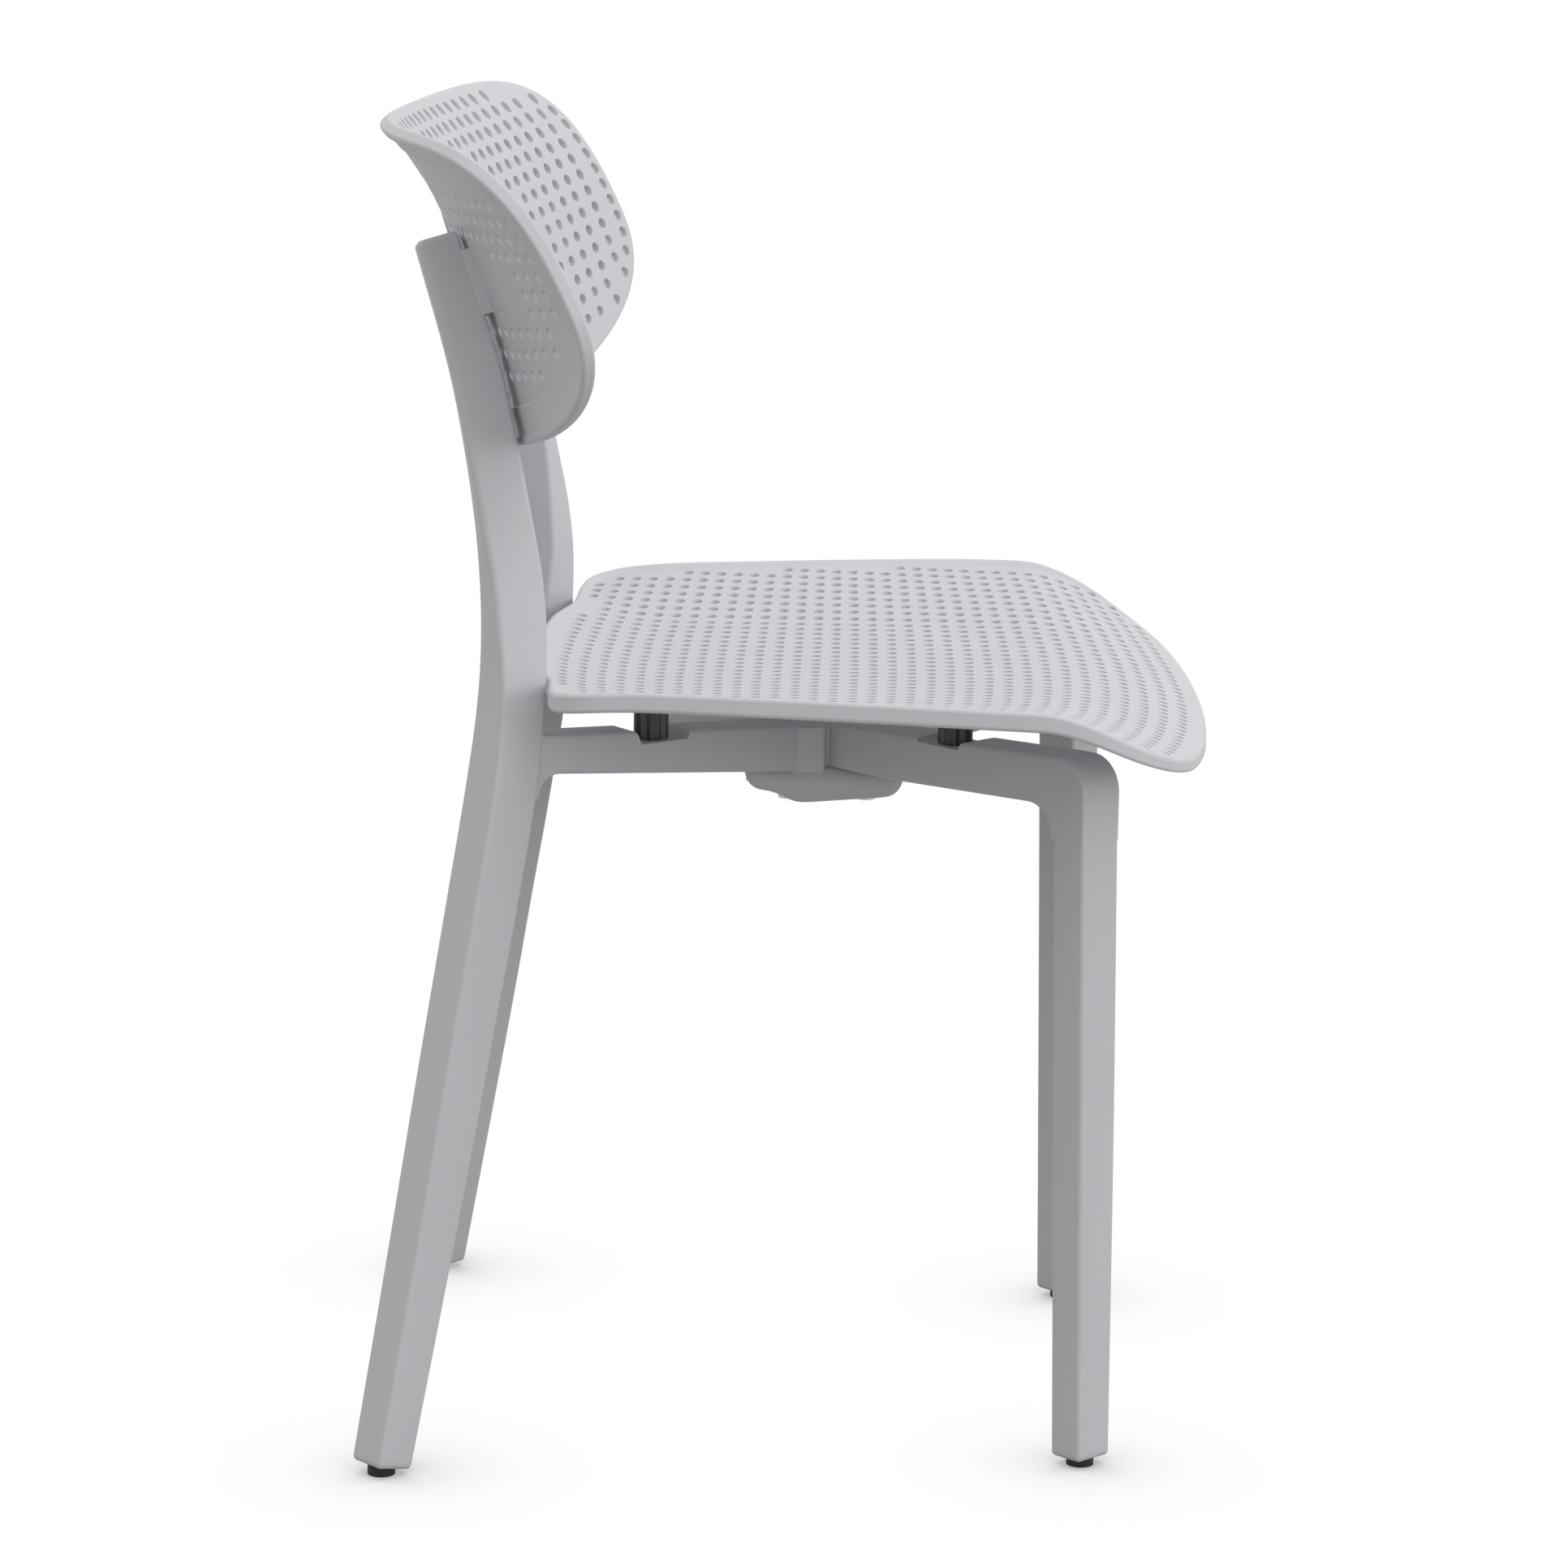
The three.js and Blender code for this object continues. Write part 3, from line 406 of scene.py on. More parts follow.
def mesh_object(
    name: str, vertices: np.ndarray, faces: list[np.ndarray], smooth_angle: float = 35.0
) -> bpy.types.Object:
    """Makes a mesh object at the origin from whole arrays.

    Args:
        name: the object's name.
        vertices: N by 3 places.
        faces: arrays of vertex indices, one array for each count of corners.
        smooth_angle: edges sharper than this many degrees stay sharp.

    Returns:
        The linked object.
    """
    mesh = bpy.data.meshes.new(name)
    loops = np.concatenate([f.reshape(-1) for f in faces])
    totals = np.concatenate([np.full(len(f), f.shape[1]) for f in faces])
    mesh.vertices.add(len(vertices))
    mesh.vertices.foreach_set("co", vertices.astype(np.float32).reshape(-1))
    mesh.loops.add(len(loops))
    mesh.loops.foreach_set("vertex_index", loops.astype(np.int32))
    mesh.polygons.add(len(totals))
    starts = np.concatenate([[0], np.cumsum(totals)[:-1]])
    mesh.polygons.foreach_set("loop_start", starts.astype(np.int32))
    mesh.update(calc_edges=True)
    mesh.validate()
    piece = bpy.data.objects.new(name, mesh)
    bpy.context.scene.collection.objects.link(piece)
    mesh.shade_smooth()
    mesh.set_sharp_from_angle(angle=math.radians(smooth_angle))
    log.info("%s: %d vertices, %d faces", name, len(mesh.vertices), len(mesh.polygons))
    return piece


@dataclass
class PerforatedSheet:
    """A sheet with round holes, drawn on a plan and lifted onto a curved surface.

    Attributes:
        outline: the plan's closed edge, anticlockwise.
        through: middles of the holes that go right through.
        blind: middles of the holes in the shown face alone.
        hole_radius: radius of a hole.
        chamfer: how far the rounded edge of a hole reaches beyond it.
        segments: sides of a hole.
        stretch: width of a hole on the plan over its height.
        eased: place of the middle ring on the rounded edge, as a share of it.
        filler_gap: least distance of a filler point from a hole.
        blind_depth: how deep a blind hole is.
        hidden_depth: how deep the rounded edge of a hole is on the hidden face.
        filler: further plan points, where the surface needs them.
    """

    outline: np.ndarray
    through: np.ndarray
    blind: np.ndarray
    hole_radius: float
    chamfer: float
    segments: int
    stretch: float = 1.0
    eased: float = 0.3
    filler_gap: float = 0.5 * MM
    blind_depth: float = 3 * MM
    hidden_depth: float = 0.08 * MM
    filler: np.ndarray = field(default_factory=lambda: np.zeros((0, 2)))

    # In millimetres: plan points closer than this would be joined.
    MERGE_DISTANCE = 0.00001

    def ring_size(self) -> np.ndarray:
        """Half widths of the outermost ring of a hole on the plan."""
        return np.array([self.hole_radius * self.stretch, self.hole_radius]) + self.chamfer

    def circles(self, centres: np.ndarray, share: float) -> np.ndarray:
        """Points of rings round the centres.

        Args:
            centres: N by 2 middles.
            share: 0 for the bore itself and 1 for the outer edge of its rounding.

        Returns:
            N times segments points by 2.
        """
        turn = np.arange(self.segments) * 2 * math.pi / self.segments
        size = self.ring_size() - (1 - share) * self.chamfer
        ring = size * np.stack([np.cos(turn), np.sin(turn)], 1)
        return (centres[:, None] + ring[None]).reshape(-1, 2)

    def face(self, centres: np.ndarray) -> tuple[np.ndarray, np.ndarray]:
        """Triangles of the plan outside the holes.

        Args:
            centres: the holes of this face.

        Returns:
            The plan points (outline, then hole rings, then filler) and the triangles.
        """
        rim, rings = len(self.outline), self.circles(centres, 1.0)
        offsets = (self.filler[:, None] - centres[None]) / (self.ring_size() + self.filler_gap)
        clear = np.linalg.norm(offsets, axis=2).min(1) > 1
        points = np.vstack([self.outline, rings, self.filler[clear]])
        loop = np.arange(rim)
        edges = [np.stack([loop, np.roll(loop, -1)], 1)]
        index = ring_indices(rim, len(centres), self.segments)
        edges.append(np.stack([index, np.roll(index, -1, 1)], 2).reshape(-1, 2))
        wanted = [tuple(int(v) for v in e) for e in np.vstack(edges)]
        flat = [Vector(p) for p in points * MM_PER_METRE]
        got = delaunay_2d_cdt(flat, wanted, [], 0, self.MERGE_DISTANCE, False)
        if len(got[0]) != len(points):
            log.warning("plan points changed from %d to %d", len(points), len(got[0]))
        points = np.array([tuple(p) for p in got[0]]) / MM_PER_METRE
        triangles = np.array(got[2])
        owner = np.full(len(points), -1)
        owner[rim : rim + len(rings)] = np.repeat(np.arange(len(centres)), self.segments)
        owners = owner[triangles]
        in_hole = (owners[:, 0] >= 0) & (owners.min(1) == owners.max(1))
        middle = points[triangles].mean(1)
        outside = np.zeros(len(triangles), bool)
        edge_only = (triangles < rim).all(1)
        outside[edge_only] = depth_inside(middle[edge_only], self.outline) < 0
        return points, triangles[~in_hole & ~outside]

    def build(
        self, name: str, lift: Callable[[np.ndarray, Face, float], np.ndarray]
    ) -> bpy.types.Object:
        """Builds the sheet: two lifted plans, the walls of the holes and the wall of the edge.

        A hole has three rings of points at each face: on the face, part of the way down its rounded
        edge, and at the bore. A blind hole ends in a flat floor.

        Args:
            name: the object's name.
            lift: a function of plan points, a Face and a depth below that face that gives places.

        Returns:
            The linked object.
        """
        shown = np.vstack([self.through, self.blind])
        upper, upper_faces = self.face(shown)
        lower, lower_faces = self.face(self.through)
        eased, count = self.eased, self.segments
        layers = (
            (shown, 0.0, Face.SHOWN, self.chamfer),
            (self.through, 0.0, Face.HIDDEN, self.hidden_depth),
            (self.blind, 0.0, Face.SHOWN, self.blind_depth),
            (shown, eased, Face.SHOWN, eased * self.chamfer),
            (self.through, eased, Face.HIDDEN, eased * self.hidden_depth),
        )
        parts = [lift(upper, Face.SHOWN, 0.0), lift(lower, Face.HIDDEN, 0.0)]
        for centres, share, face, depth in layers:
            parts.append(lift(self.circles(centres, share), face, depth))
        starts = np.concatenate([[0], np.cumsum([len(part) for part in parts])])
        rim = np.arange(len(self.outline))[None]
        edge_top, edge_low = rim, rim + starts[1]
        top_ring = ring_indices(starts[0] + rim.size, len(shown), count)
        low_ring = ring_indices(starts[1] + rim.size, len(self.through), count)
        bore, bore_low, floor, middle, middle_low = (
            ring_indices(start, len(layer[0]), count) for start, layer in zip(starts[2:], layers)
        )
        quads = [
            band(top_ring, middle),
            band(middle, bore),
            band(bore[: len(self.through)], bore_low),
            band(bore_low, middle_low),
            band(middle_low, low_ring),
            band(bore[len(self.through) :], floor),
            band(edge_low, edge_top),
        ]
        faces = [upper_faces, lower_faces[:, ::-1] + starts[1], np.vstack(quads)]
        if len(floor):
            faces.append(floor)
        return mesh_object(name, np.vstack(parts), faces)


def ring_indices(start: int, number: int, count: int) -> np.ndarray:
    """Vertex indices of rings that follow one another.

    Args:
        start: index of the first vertex.
        number: how many rings.
        count: vertices in each ring.

    Returns:
        One row for each ring.
    """
    return start + np.arange(number * count).reshape(-1, count)


def band(first: np.ndarray, second: np.ndarray) -> np.ndarray:
    """Quads between matching closed rings.

    Args:
        first: N rings of M vertex indices.
        second: the rings to join them to.

    Returns:
        N times M quads.
    """
    quads = np.stack([np.roll(first, -1, 1), first, second, np.roll(second, -1, 1)], 2)
    return quads.reshape(-1, 4)


# Solids

# Points on a quarter circle of a section and on a round recess, and the angle in degrees above
# which an edge of a moulding stays sharp.
CORNER_STEPS = 7
CIRCLE_POINTS = 40
MOULDING_ANGLE = 28.0


def skin(rings: np.ndarray, name: str) -> bpy.types.Object:
    """A closed skin through rings, with a flat cap at each end.

    Args:
        rings: N rings of M places, in millimetres in hub coordinates.
        name: the object's name.

    Returns:
        The linked object, with its faces turned outwards.
    """
    number, count = rings.shape[:2]
    index = ring_indices(0, number, count)
    faces = [band(index[:-1], index[1:]), index[:1], index[-1:, ::-1]]
    piece = mesh_object(name, rings.reshape(-1, 3) * MM, faces)
    turned = bmesh.new()
    turned.from_mesh(piece.data)
    bmesh.ops.recalc_face_normals(turned, faces=turned.faces[:])
    turned.to_mesh(piece.data)
    turned.free()
    return piece


def rounded_section(
    half_length: np.ndarray, half_width: np.ndarray, radius: np.ndarray, first: np.ndarray
) -> np.ndarray:
    """Rounded rectangles: quarter circles round the four corners of each.

    Args:
        half_length: N half lengths.
        half_width: N half widths.
        radius: N radii of three of the corners.
        first: N radii of the first corner.

    Returns:
        N by M by 2 places along the length and the width, M being 4 times CORNER_STEPS.
    """
    corner, step = np.repeat(np.arange(4), CORNER_STEPS), np.tile(np.arange(CORNER_STEPS), 4)
    turn = (corner + step / (CORNER_STEPS - 1)) * math.pi / 2
    length_sign = np.where((corner == 0) | (corner == 3), 1, -1)
    width_sign = np.where(corner < 2, 1, -1)
    round_by = np.where(corner == 0, first[:, None], radius[:, None])
    along = length_sign * (half_length[:, None] - round_by) + round_by * np.cos(turn)
    across = width_sign * (half_width[:, None] - round_by) + round_by * np.sin(turn)
    return np.stack([along, across], 2)


def placed_rings(
    middles: np.ndarray, first: np.ndarray, second: np.ndarray, section: np.ndarray
) -> np.ndarray:
    """Sections set in space: each middle plus the section's two places along two directions.

    Args:
        middles: N by 3 places.
        first: N by 3 directions.
        second: N by 3 directions.
        section: N by M by 2 places.

    Returns:
        N by M by 3 places.
    """
    reach = section[..., :1] * first[:, None] + section[..., 1:] * second[:, None]
    return middles[:, None] + reach


def round_bar(x: float, y: float, radius: float, low: float, high: float) -> bpy.types.Object:
    """An upright cylinder: two circles.

    Args:
        x: its place forward of the hub, in millimetres, as all that follow.
        y: its place across.
        radius: its radius.
        low: its lower end.
        high: its upper end.

    Returns:
        The linked object.
    """
    turn = np.arange(CIRCLE_POINTS) * 2 * math.pi / CIRCLE_POINTS
    circle = np.stack([x + radius * np.cos(turn), y + radius * np.sin(turn), 0 * turn], 1)
    return skin(np.stack([circle + [0, 0, low], circle + [0, 0, high]]), "cutter")


def block(low: tuple, high: tuple, corner: float) -> bpy.types.Object:
    """A box with rounded upright edges: two rounded rectangles.

    Args:
        low: its lowest corner, in millimetres in hub coordinates.
        high: its highest corner.
        corner: radius of its upright edges.

    Returns:
        The linked object.
    """
    low_corner, high_corner = np.array(low, float), np.array(high, float)
    half = np.tile((high_corner - low_corner) / 2, (2, 1))
    middles = np.tile((high_corner + low_corner) / 2, (2, 1))
    middles[:, 2] = low[2], high[2]
    radius = np.full(2, corner)
    section = rounded_section(half[:, 0], half[:, 1], radius, radius)
    axes = np.tile(np.eye(3)[:, None], (1, 2, 1))
    return skin(placed_rings(middles, axes[0], axes[1], section), "block")


def combined(
    base: bpy.types.Object, others: list[bpy.types.Object], operation: str
) -> bpy.types.Object:
    """Joins solids to a base, or cuts them out of it, and deletes them.

    Args:
        base: the object that is changed.
        others: the solids.
        operation: UNION or DIFFERENCE.

    Returns:
        The base.
    """
    for other in others:
        modifier = base.modifiers.new("solid", "BOOLEAN")
        modifier.operation, modifier.solver, modifier.object = operation, "EXACT", other
    bpy.context.view_layer.update()
    graph = bpy.context.evaluated_depsgraph_get()
    mesh = bpy.data.meshes.new_from_object(base.evaluated_get(graph))
    base.modifiers.clear()
    base.data = mesh
    for other in others:
        bpy.data.objects.remove(other)
    mesh.shade_smooth()
    mesh.set_sharp_from_angle(angle=math.radians(MOULDING_ANGLE))
    log.info("%s: %d faces after %d solids", base.name, len(mesh.polygons), len(others))
    return base


# Frames

# Heights and reach in millimetres that are clear of the hub and the arms, for what cuts them, and
# the radius of a cutter's upright edges.
BELOW = 300.0
ABOVE = 430.0
CUTTER_REACH = 60.0
CUTTER_CORNER = 1.0


@dataclass(frozen=True)
class FrameSize:
    """Sizes of one of the two crossed frames, in millimetres in hub coordinates.

    Attributes:
        stations: rows of height, back, side, along, across, turn in degrees and the radius of the
            corner that faces outwards, from the foot up.
        outward: -1 for the rear frame and 1 for the front one.
        hub_top: height of the arm's top where it leaves the hub.
        hub_bottom: height of its underside there.
        leg_top: height of its top at the leg.
        leg_bottom: height of its underside there.
        under_radius: fillet below the arm at the leg.
        over_radius: fillet above it, or the radius of the shoulder of the front frame.
        narrowing: how much narrower than the leg the arm ends.
        fixings: places of the seat's posts on the arm, back and side.
        hub_width: width of the arm at the hub.
        hub_start: how far from the hub's middle the arm starts.
        corner: radius of the arm's corners and of the bar's.
        least_corner: the smallest that a corner gets where the bar's end is rounded.
        end_rounding: radius at both ends of a bar.
        end_rings: rings on each rounded end.
        ring_step: distance between the rings of a bar.
        slope_step: distance over which a bar's direction is measured.
        arm_rings: rings on the straight run of an arm.
        fillet_rings: rings on its fillet.
        screw_recess: radius of the recess for a screw's head.
        screw_recess_top: height of its upper end.
        trough: rows of height and half width of the recess for a post, from its floor up.
        trough_half_length: how far it reaches across the arm.
    """

    stations: tuple
    outward: int
    hub_top: float
    hub_bottom: float
    leg_top: float
    leg_bottom: float
    under_radius: float
    over_radius: float
    narrowing: float
    fixings: tuple
    hub_width: float = 30.0
    hub_start: float = 4.0
    corner: float = 2.4
    least_corner: float = 0.2
    end_rounding: float = 3.0
    end_rings: int = 5
    ring_step: float = 6.0
    slope_step: float = 1.0
    arm_rings: int = 8
    fillet_rings: int = 14
    screw_recess: float = 5.8
    screw_recess_top: float = 394.3
    trough: tuple = ((404.5, 16.0), (406.0, 16.8), (420.0, 22.5))
    trough_half_length: float = 30.0


REAR = FrameSize(
    stations=(
        (5, 244.4, 202, 24.9, 24.9, 45, 2.4),
        (143, 221.1, 180.7, 27.5, 27.5, 42.4, 2.4),
        (200, 211.7, 172.2, 28.6, 28.6, 40.7, 2.4),
        (256, 202.6, 163.7, 29.2, 29.2, 40.4, 2.4),
        (320, 192, 154, 30, 30, 39.2, 2.4),
        (396, 180.5, 142.5, 29.5, 30, 38.5, 2.6),
        (424.6, 177.7, 138.2, 28.9, 28, 38.2, 2.8),
        (452.4, 175.9, 134, 29.2, 27, 34.6, 3),
        (480.3, 175.9, 129.8, 30.8, 25.5, 26.8, 4),
        (508.1, 178.2, 125.6, 30.4, 24, 23, 4),
        (535.9, 182.4, 121.6, 29.9, 22.5, 14.7, 5),
        (573.9, 189.3, 115.5, 29.1, 22, 10.7, 5),
        (619.4, 199.4, 108.5, 28.2, 21.1, 10, 5.5),
        (690.2, 222.2, 98, 24, 21, 12, 5),
    ),
    outward=-1,
    hub_top=401,
    hub_bottom=372.5,
    leg_top=417,
    leg_bottom=395,
    under_radius=15,
    over_radius=7,
    narrowing=5,
    fixings=((100, 78), (100, -78)),
)
FRONT = FrameSize(
    stations=(
        (5, -154.1, 161, 22.6, 25.7, 46, 2.4),
        (200, -151.3, 156.5, 23.4, 28.2, 46, 2.4),
        (396, -147.8, 152, 24, 29.4, 46, 2.4),
    ),
    outward=1,
    hub_top=402,
    hub_bottom=374.5,
    leg_top=413,
    leg_bottom=385,
    under_radius=21,
    over_radius=18,
    narrowing=0.2,
    fixings=((-75, 78), (-75, -78)),
)


class CrossedFrame:
    """A pair of legs with the arms that run to the hub under the seat."""

    def __init__(self, size: FrameSize) -> None:
        """Keeps the sizes, with the stations as an array."""
        self.size = size
        self.table = np.array(size.stations, float)

    def rows(self, heights: np.ndarray) -> np.ndarray:
        """Station values at any height.

        Each span is a cubic whose slope at a station is the slope between its two neighbours, and
        whose curvature is free at both ends of the bar.

        Args:
            heights: N heights.

        Returns:
            N rows of station values.
        """
        t, last = self.table[:, 0], len(self.table) - 1
        high = np.clip(np.searchsorted(t, heights, side="right"), 1, last)
        low = high - 1
        before = np.where(low > 0, low - 1, high)
        after = np.where(high < last, np.minimum(high + 1, last), low)
        half = (t[high] - t[low]) / 2
        back, ahead = half / (t[low] - t[before]), half / (t[after] - t[high])
        p = (heights - t[low]) / (t[high] - t[low])
        shares = (
            -back * p**3 + 2 * back * p**2 - back * p,
            (1 + back) * p**3 - (1.5 + 2 * back) * p**2 + (back - 0.5) * p + 1,
            -(1 + ahead) * p**3 + (1.5 + ahead) * p**2 + 0.5 * p,
            ahead * p**3 - ahead * p**2,
        )
        places = (before, low, high, after)
        return sum(share[:, None] * self.table[place] for share, place in zip(shares, places))

    def middles(self, heights: np.ndarray, side: int) -> np.ndarray:
        """Places on a bar's line at N heights. The side is 1 for the left and -1 for the right."""
        rows = self.rows(heights)
        return np.stack([-rows[:, 1], side * rows[:, 2], heights], 1)

    def bar(self, side: int) -> bpy.types.Object:
        """One leg, with its upright on the rear frame: rounded sections square to its line.

        Both ends are rounded: the section shrinks as a quarter circle does.

        Args:
            side: 1 for the left bar and -1 for the right one.

        Returns:
            The bar.
        """
        s = self.size
        low, high, ends = self.table[0, 0], self.table[-1, 0], s.end_rings
        turn = np.linspace(0, math.pi / 2, ends)
        inner = np.arange(low + 2 * s.end_rounding, high - s.slope_step, s.ring_step)
        heights = np.concatenate([np.full(ends, low), inner, np.full(ends, high)])
        inset, lift = np.zeros(len(heights)), np.zeros(len(heights))
        inset[:ends] = s.end_rounding * (1 - np.sin(turn))
        inset[-ends:] = inset[:ends][::-1]
        lift[:ends] = s.end_rounding * (1 - np.cos(turn))
        lift[-ends:] = s.end_rounding * np.cos(turn[::-1])
        rows = self.rows(heights)
        above = self.middles(np.minimum(heights + s.slope_step, high), side)
        tangent = above - self.middles(np.maximum(heights - s.slope_step, low), side)
        tangent /= np.linalg.norm(tangent, axis=1)[:, None]
        angle = np.radians(rows[:, 5])
        flat = np.zeros(len(heights))
        along = np.stack([s.outward * np.cos(angle), side * np.sin(angle), flat], 1)
        across = np.stack([-s.outward * np.sin(angle), side * np.cos(angle), flat], 1)
        for axis in (along, across):
            axis -= (axis * tangent).sum(1)[:, None] * tangent
            axis /= np.linalg.norm(axis, axis=1)[:, None]
        section = rounded_section(
            rows[:, 3] / 2 - inset,
            rows[:, 4] / 2 - inset,
            np.maximum(s.least_corner, s.corner - inset),
            np.maximum(s.least_corner, rows[:, 6] - inset),
        )
        middles = self.middles(heights, side) + tangent * lift[:, None]
        return skin(placed_rings(middles, along, across, section), "bar")

    def arm(self, side: int) -> bpy.types.Object:
        """One arm: upright rounded sections on a straight run from the hub to the leg.

        Its top and bottom are straight lines, plus quarter-round fillets at the leg. The front arm
        goes on over its leg and ends in a round shoulder.

        Args:
            side: 1 for the left arm and -1 for the right one.

        Returns:
            The arm.
        """
        s = self.size
        middle = (s.leg_top + s.leg_bottom) / 2
        row = self.rows(np.array([middle]))[0]
        reach = math.hypot(row[1], row[2])
        wall = reach - row[3] / 2
        turn = np.linspace(0, math.pi / 2, s.fillet_rings)
        start = wall - s.under_radius
        plain = np.linspace(s.hub_start, start, s.arm_rings)[:-1]
        distance = np.concatenate([plain, start + s.under_radius * np.sin(turn)])
        share = distance / wall
        top = s.hub_top + (s.leg_top - s.hub_top) * share
        bottom = s.hub_bottom + (s.leg_bottom - s.hub_bottom) * share
        bottom = bottom - quarter_drop(distance - wall, s.under_radius)
        width = s.hub_width + (row[4] - s.narrowing - s.hub_width) * share
        if s.outward < 0:
            top = top + quarter_drop(distance - wall, s.over_radius)
            end, drop = np.array([reach]), np.zeros(1)
        else:
            outer = reach + row[3] / 2 - s.over_radius
            end = np.concatenate([[outer], outer + s.over_radius * np.sin(turn[1:])])
            drop = np.concatenate([[0], s.over_radius * (1 - np.cos(turn[1:]))])
        distance = np.concatenate([distance, end])
        top = np.concatenate([top, top[-1] - drop])
        bottom = np.concatenate([bottom, np.full(len(end), bottom[-1])])
        width = np.concatenate([width, np.full(len(end), width[-1])])
        order = np.argsort(distance, kind="stable")
        distance, top, bottom, width = (v[order] for v in (distance, top, bottom, width))
        run, up = np.array([-row[1], side * row[2], 0]) / reach, np.array([0.0, 0.0, 1.0])
        count = len(distance)
        middles = run * distance[:, None] + up * ((top + bottom) / 2)[:, None]
        sideways = np.tile([-run[1], run[0], 0], (count, 1))
        radius = np.full(count, s.corner)
        section = rounded_section(width / 2, (top - bottom) / 2, radius, radius)
        return skin(placed_rings(middles, sideways, np.tile(up, (count, 1)), section), "arm")

    def cutters(self) -> list[bpy.types.Object]:
        """Recesses for the posts and their screws.

        Returns:
            Solids to cut out of the frame.
        """
        s, found = self.size, []
        for back, side in s.fixings:
            found.append(self.recess(back, side))
            found.append(round_bar(-back, side, s.screw_recess, BELOW, s.screw_recess_top))
        return found

    def recess(self, back: float, side: float) -> bpy.types.Object:
        """A trough across the top of an arm, wider at its top, that a post stands in.

        Args:
            back: the post's place behind the hub.
            side: its place across.

        Returns:
            The trough as a solid.
        """
        turn = math.atan2(side, -back)
        run = np.array([math.cos(turn), math.sin(turn), 0])
        across = np.array([-run[1], run[0], 0]) * self.size.trough_half_length
        rings = []
        for height, half in self.size.trough:
            corners = (run * half + across, across - run * half)
            middle = np.array([-back, side, height])
            rings.append([middle + c for c in (*corners, -corners[0], -corners[1])])
        return skin(np.array(rings), "cutter")


@dataclass(frozen=True)
class HubSize:
    """Sizes of the hub, in millimetres in hub coordinates.

    Attributes:
        profile: places forward and heights of the tray's underside.
        softening: how often the profile is averaged.
        tray_rings: sections of the tray.
        end_start: how far from its end the first one is cut off.
        corner_share: most of a section's half height that its corners take.
        pocket: lowest corner of the space for the front frame's block.
        pocket_end: its end towards the front left.
        gap: clearance between the two frames.
        bolts: places of the bolts, back and side.
    """

    profile: tuple = (
        (-47.5, 377), (-46.5, 372), (-43.5, 367), (-39, 364.6), (-33, 363.8), (-28, 362.4),
        (-23, 359.4), (-18.5, 357.2), (-14, 356.5), (0, 357.6), (25, 359.8), (35, 360.7),
        (40.5, 362.4), (44, 366), (46, 371), (46.5, 377),
    )
    half_width: float = 34.0
    tray_top: float = 378.0
    corner: float = 9.0
    corner_share: float = 0.9
    end_round: float = 10.0
    end_start: float = 0.4
    tray_rings: int = 70
    softening: int = 4
    cheek_back: float = 46.0
    cheek_half_width: float = 31.0
    cheek_top: float = 402.0
    cheek_bottom: float = 370.0
    cheek_corner: float = 2.5
    pocket: tuple = (-36, -24, 363.3)
    pocket_end: tuple = (38.5, 24)
    block_top: float = 402.0
    gap: float = 0.3
    bolts: tuple = ((22, 13), (22, -13), (-24, 13), (-24, -13))
    bolt_recess: float = 5.8
    bolt_recess_top: float = 360.3


class Hub:
    """The tray of the rear frame and the block of the front frame that sits in it."""

    def __init__(self, size: HubSize) -> None:
        """Keeps the sizes."""
        self.size = size

    def tray(self) -> bpy.types.Object:
        """The tray: sections across the chair whose underside follows a soft curve.

        The line through the profile is softened by averaging each height with its neighbours, and
        the half width falls as a quarter circle does towards both ends.

        Returns:
            The tray.
        """
        s = self.size
        profile = np.array(s.profile, float)
        share = (1 - np.cos(np.linspace(0, math.pi, s.tray_rings))) / 2
        x = profile[0, 0] + (profile[-1, 0] - profile[0, 0]) * share
        z = np.interp(x, profile[:, 0], profile[:, 1])
        for _ in range(s.softening):
            z[1:-1] = (z[:-2] + 2 * z[1:-1] + z[2:]) / 4
        end = np.minimum(x - x[0], x[-1] - x) + s.end_start
        half_width = s.half_width - quarter_drop(-end, s.end_round)
        half_height = (s.tray_top - z) / 2
        middles = np.stack([x, 0 * x, s.tray_top - half_height], 1)
        across = np.tile([0.0, 1.0, 0.0], (len(x), 1))
        up = np.tile([0.0, 0.0, 1.0], (len(x), 1))
        radius = np.minimum(s.corner, half_height * s.corner_share)
        section = rounded_section(half_width, half_height, radius, radius)
        return skin(placed_rings(middles, across, up, section), "tray")

    def cheeks(self) -> bpy.types.Object:
        """The block behind the seam, which the rear arms run into.

        Returns:
            The solid.
        """
        s = self.size
        low = (-s.cheek_back, -s.cheek_half_width, s.cheek_bottom)
        return block(low, (0, s.cheek_half_width, s.cheek_top), s.cheek_corner)

    def pocket(self, gap: float, top: float) -> bpy.types.Object:
        """The space inside the tray, or the block that fills it.

        Args:
            gap: how far inside the pocket's walls.
            top: its upper end.

        Returns:
            The solid.
        """
        low = tuple(place + gap for place in self.size.pocket)
        high = tuple(place - gap for place in self.size.pocket_end)
        return block(low, (*high, top), CUTTER_CORNER)

    def bolt_cutters(self) -> list[bpy.types.Object]:
        """Recesses for the heads of the bolts.

        Returns:
            Solids to cut out of the tray.
        """
        s, found = self.size, []
        for back, side in s.bolts:
            found.append(round_bar(-back, side, s.bolt_recess, BELOW, s.bolt_recess_top))
        return found


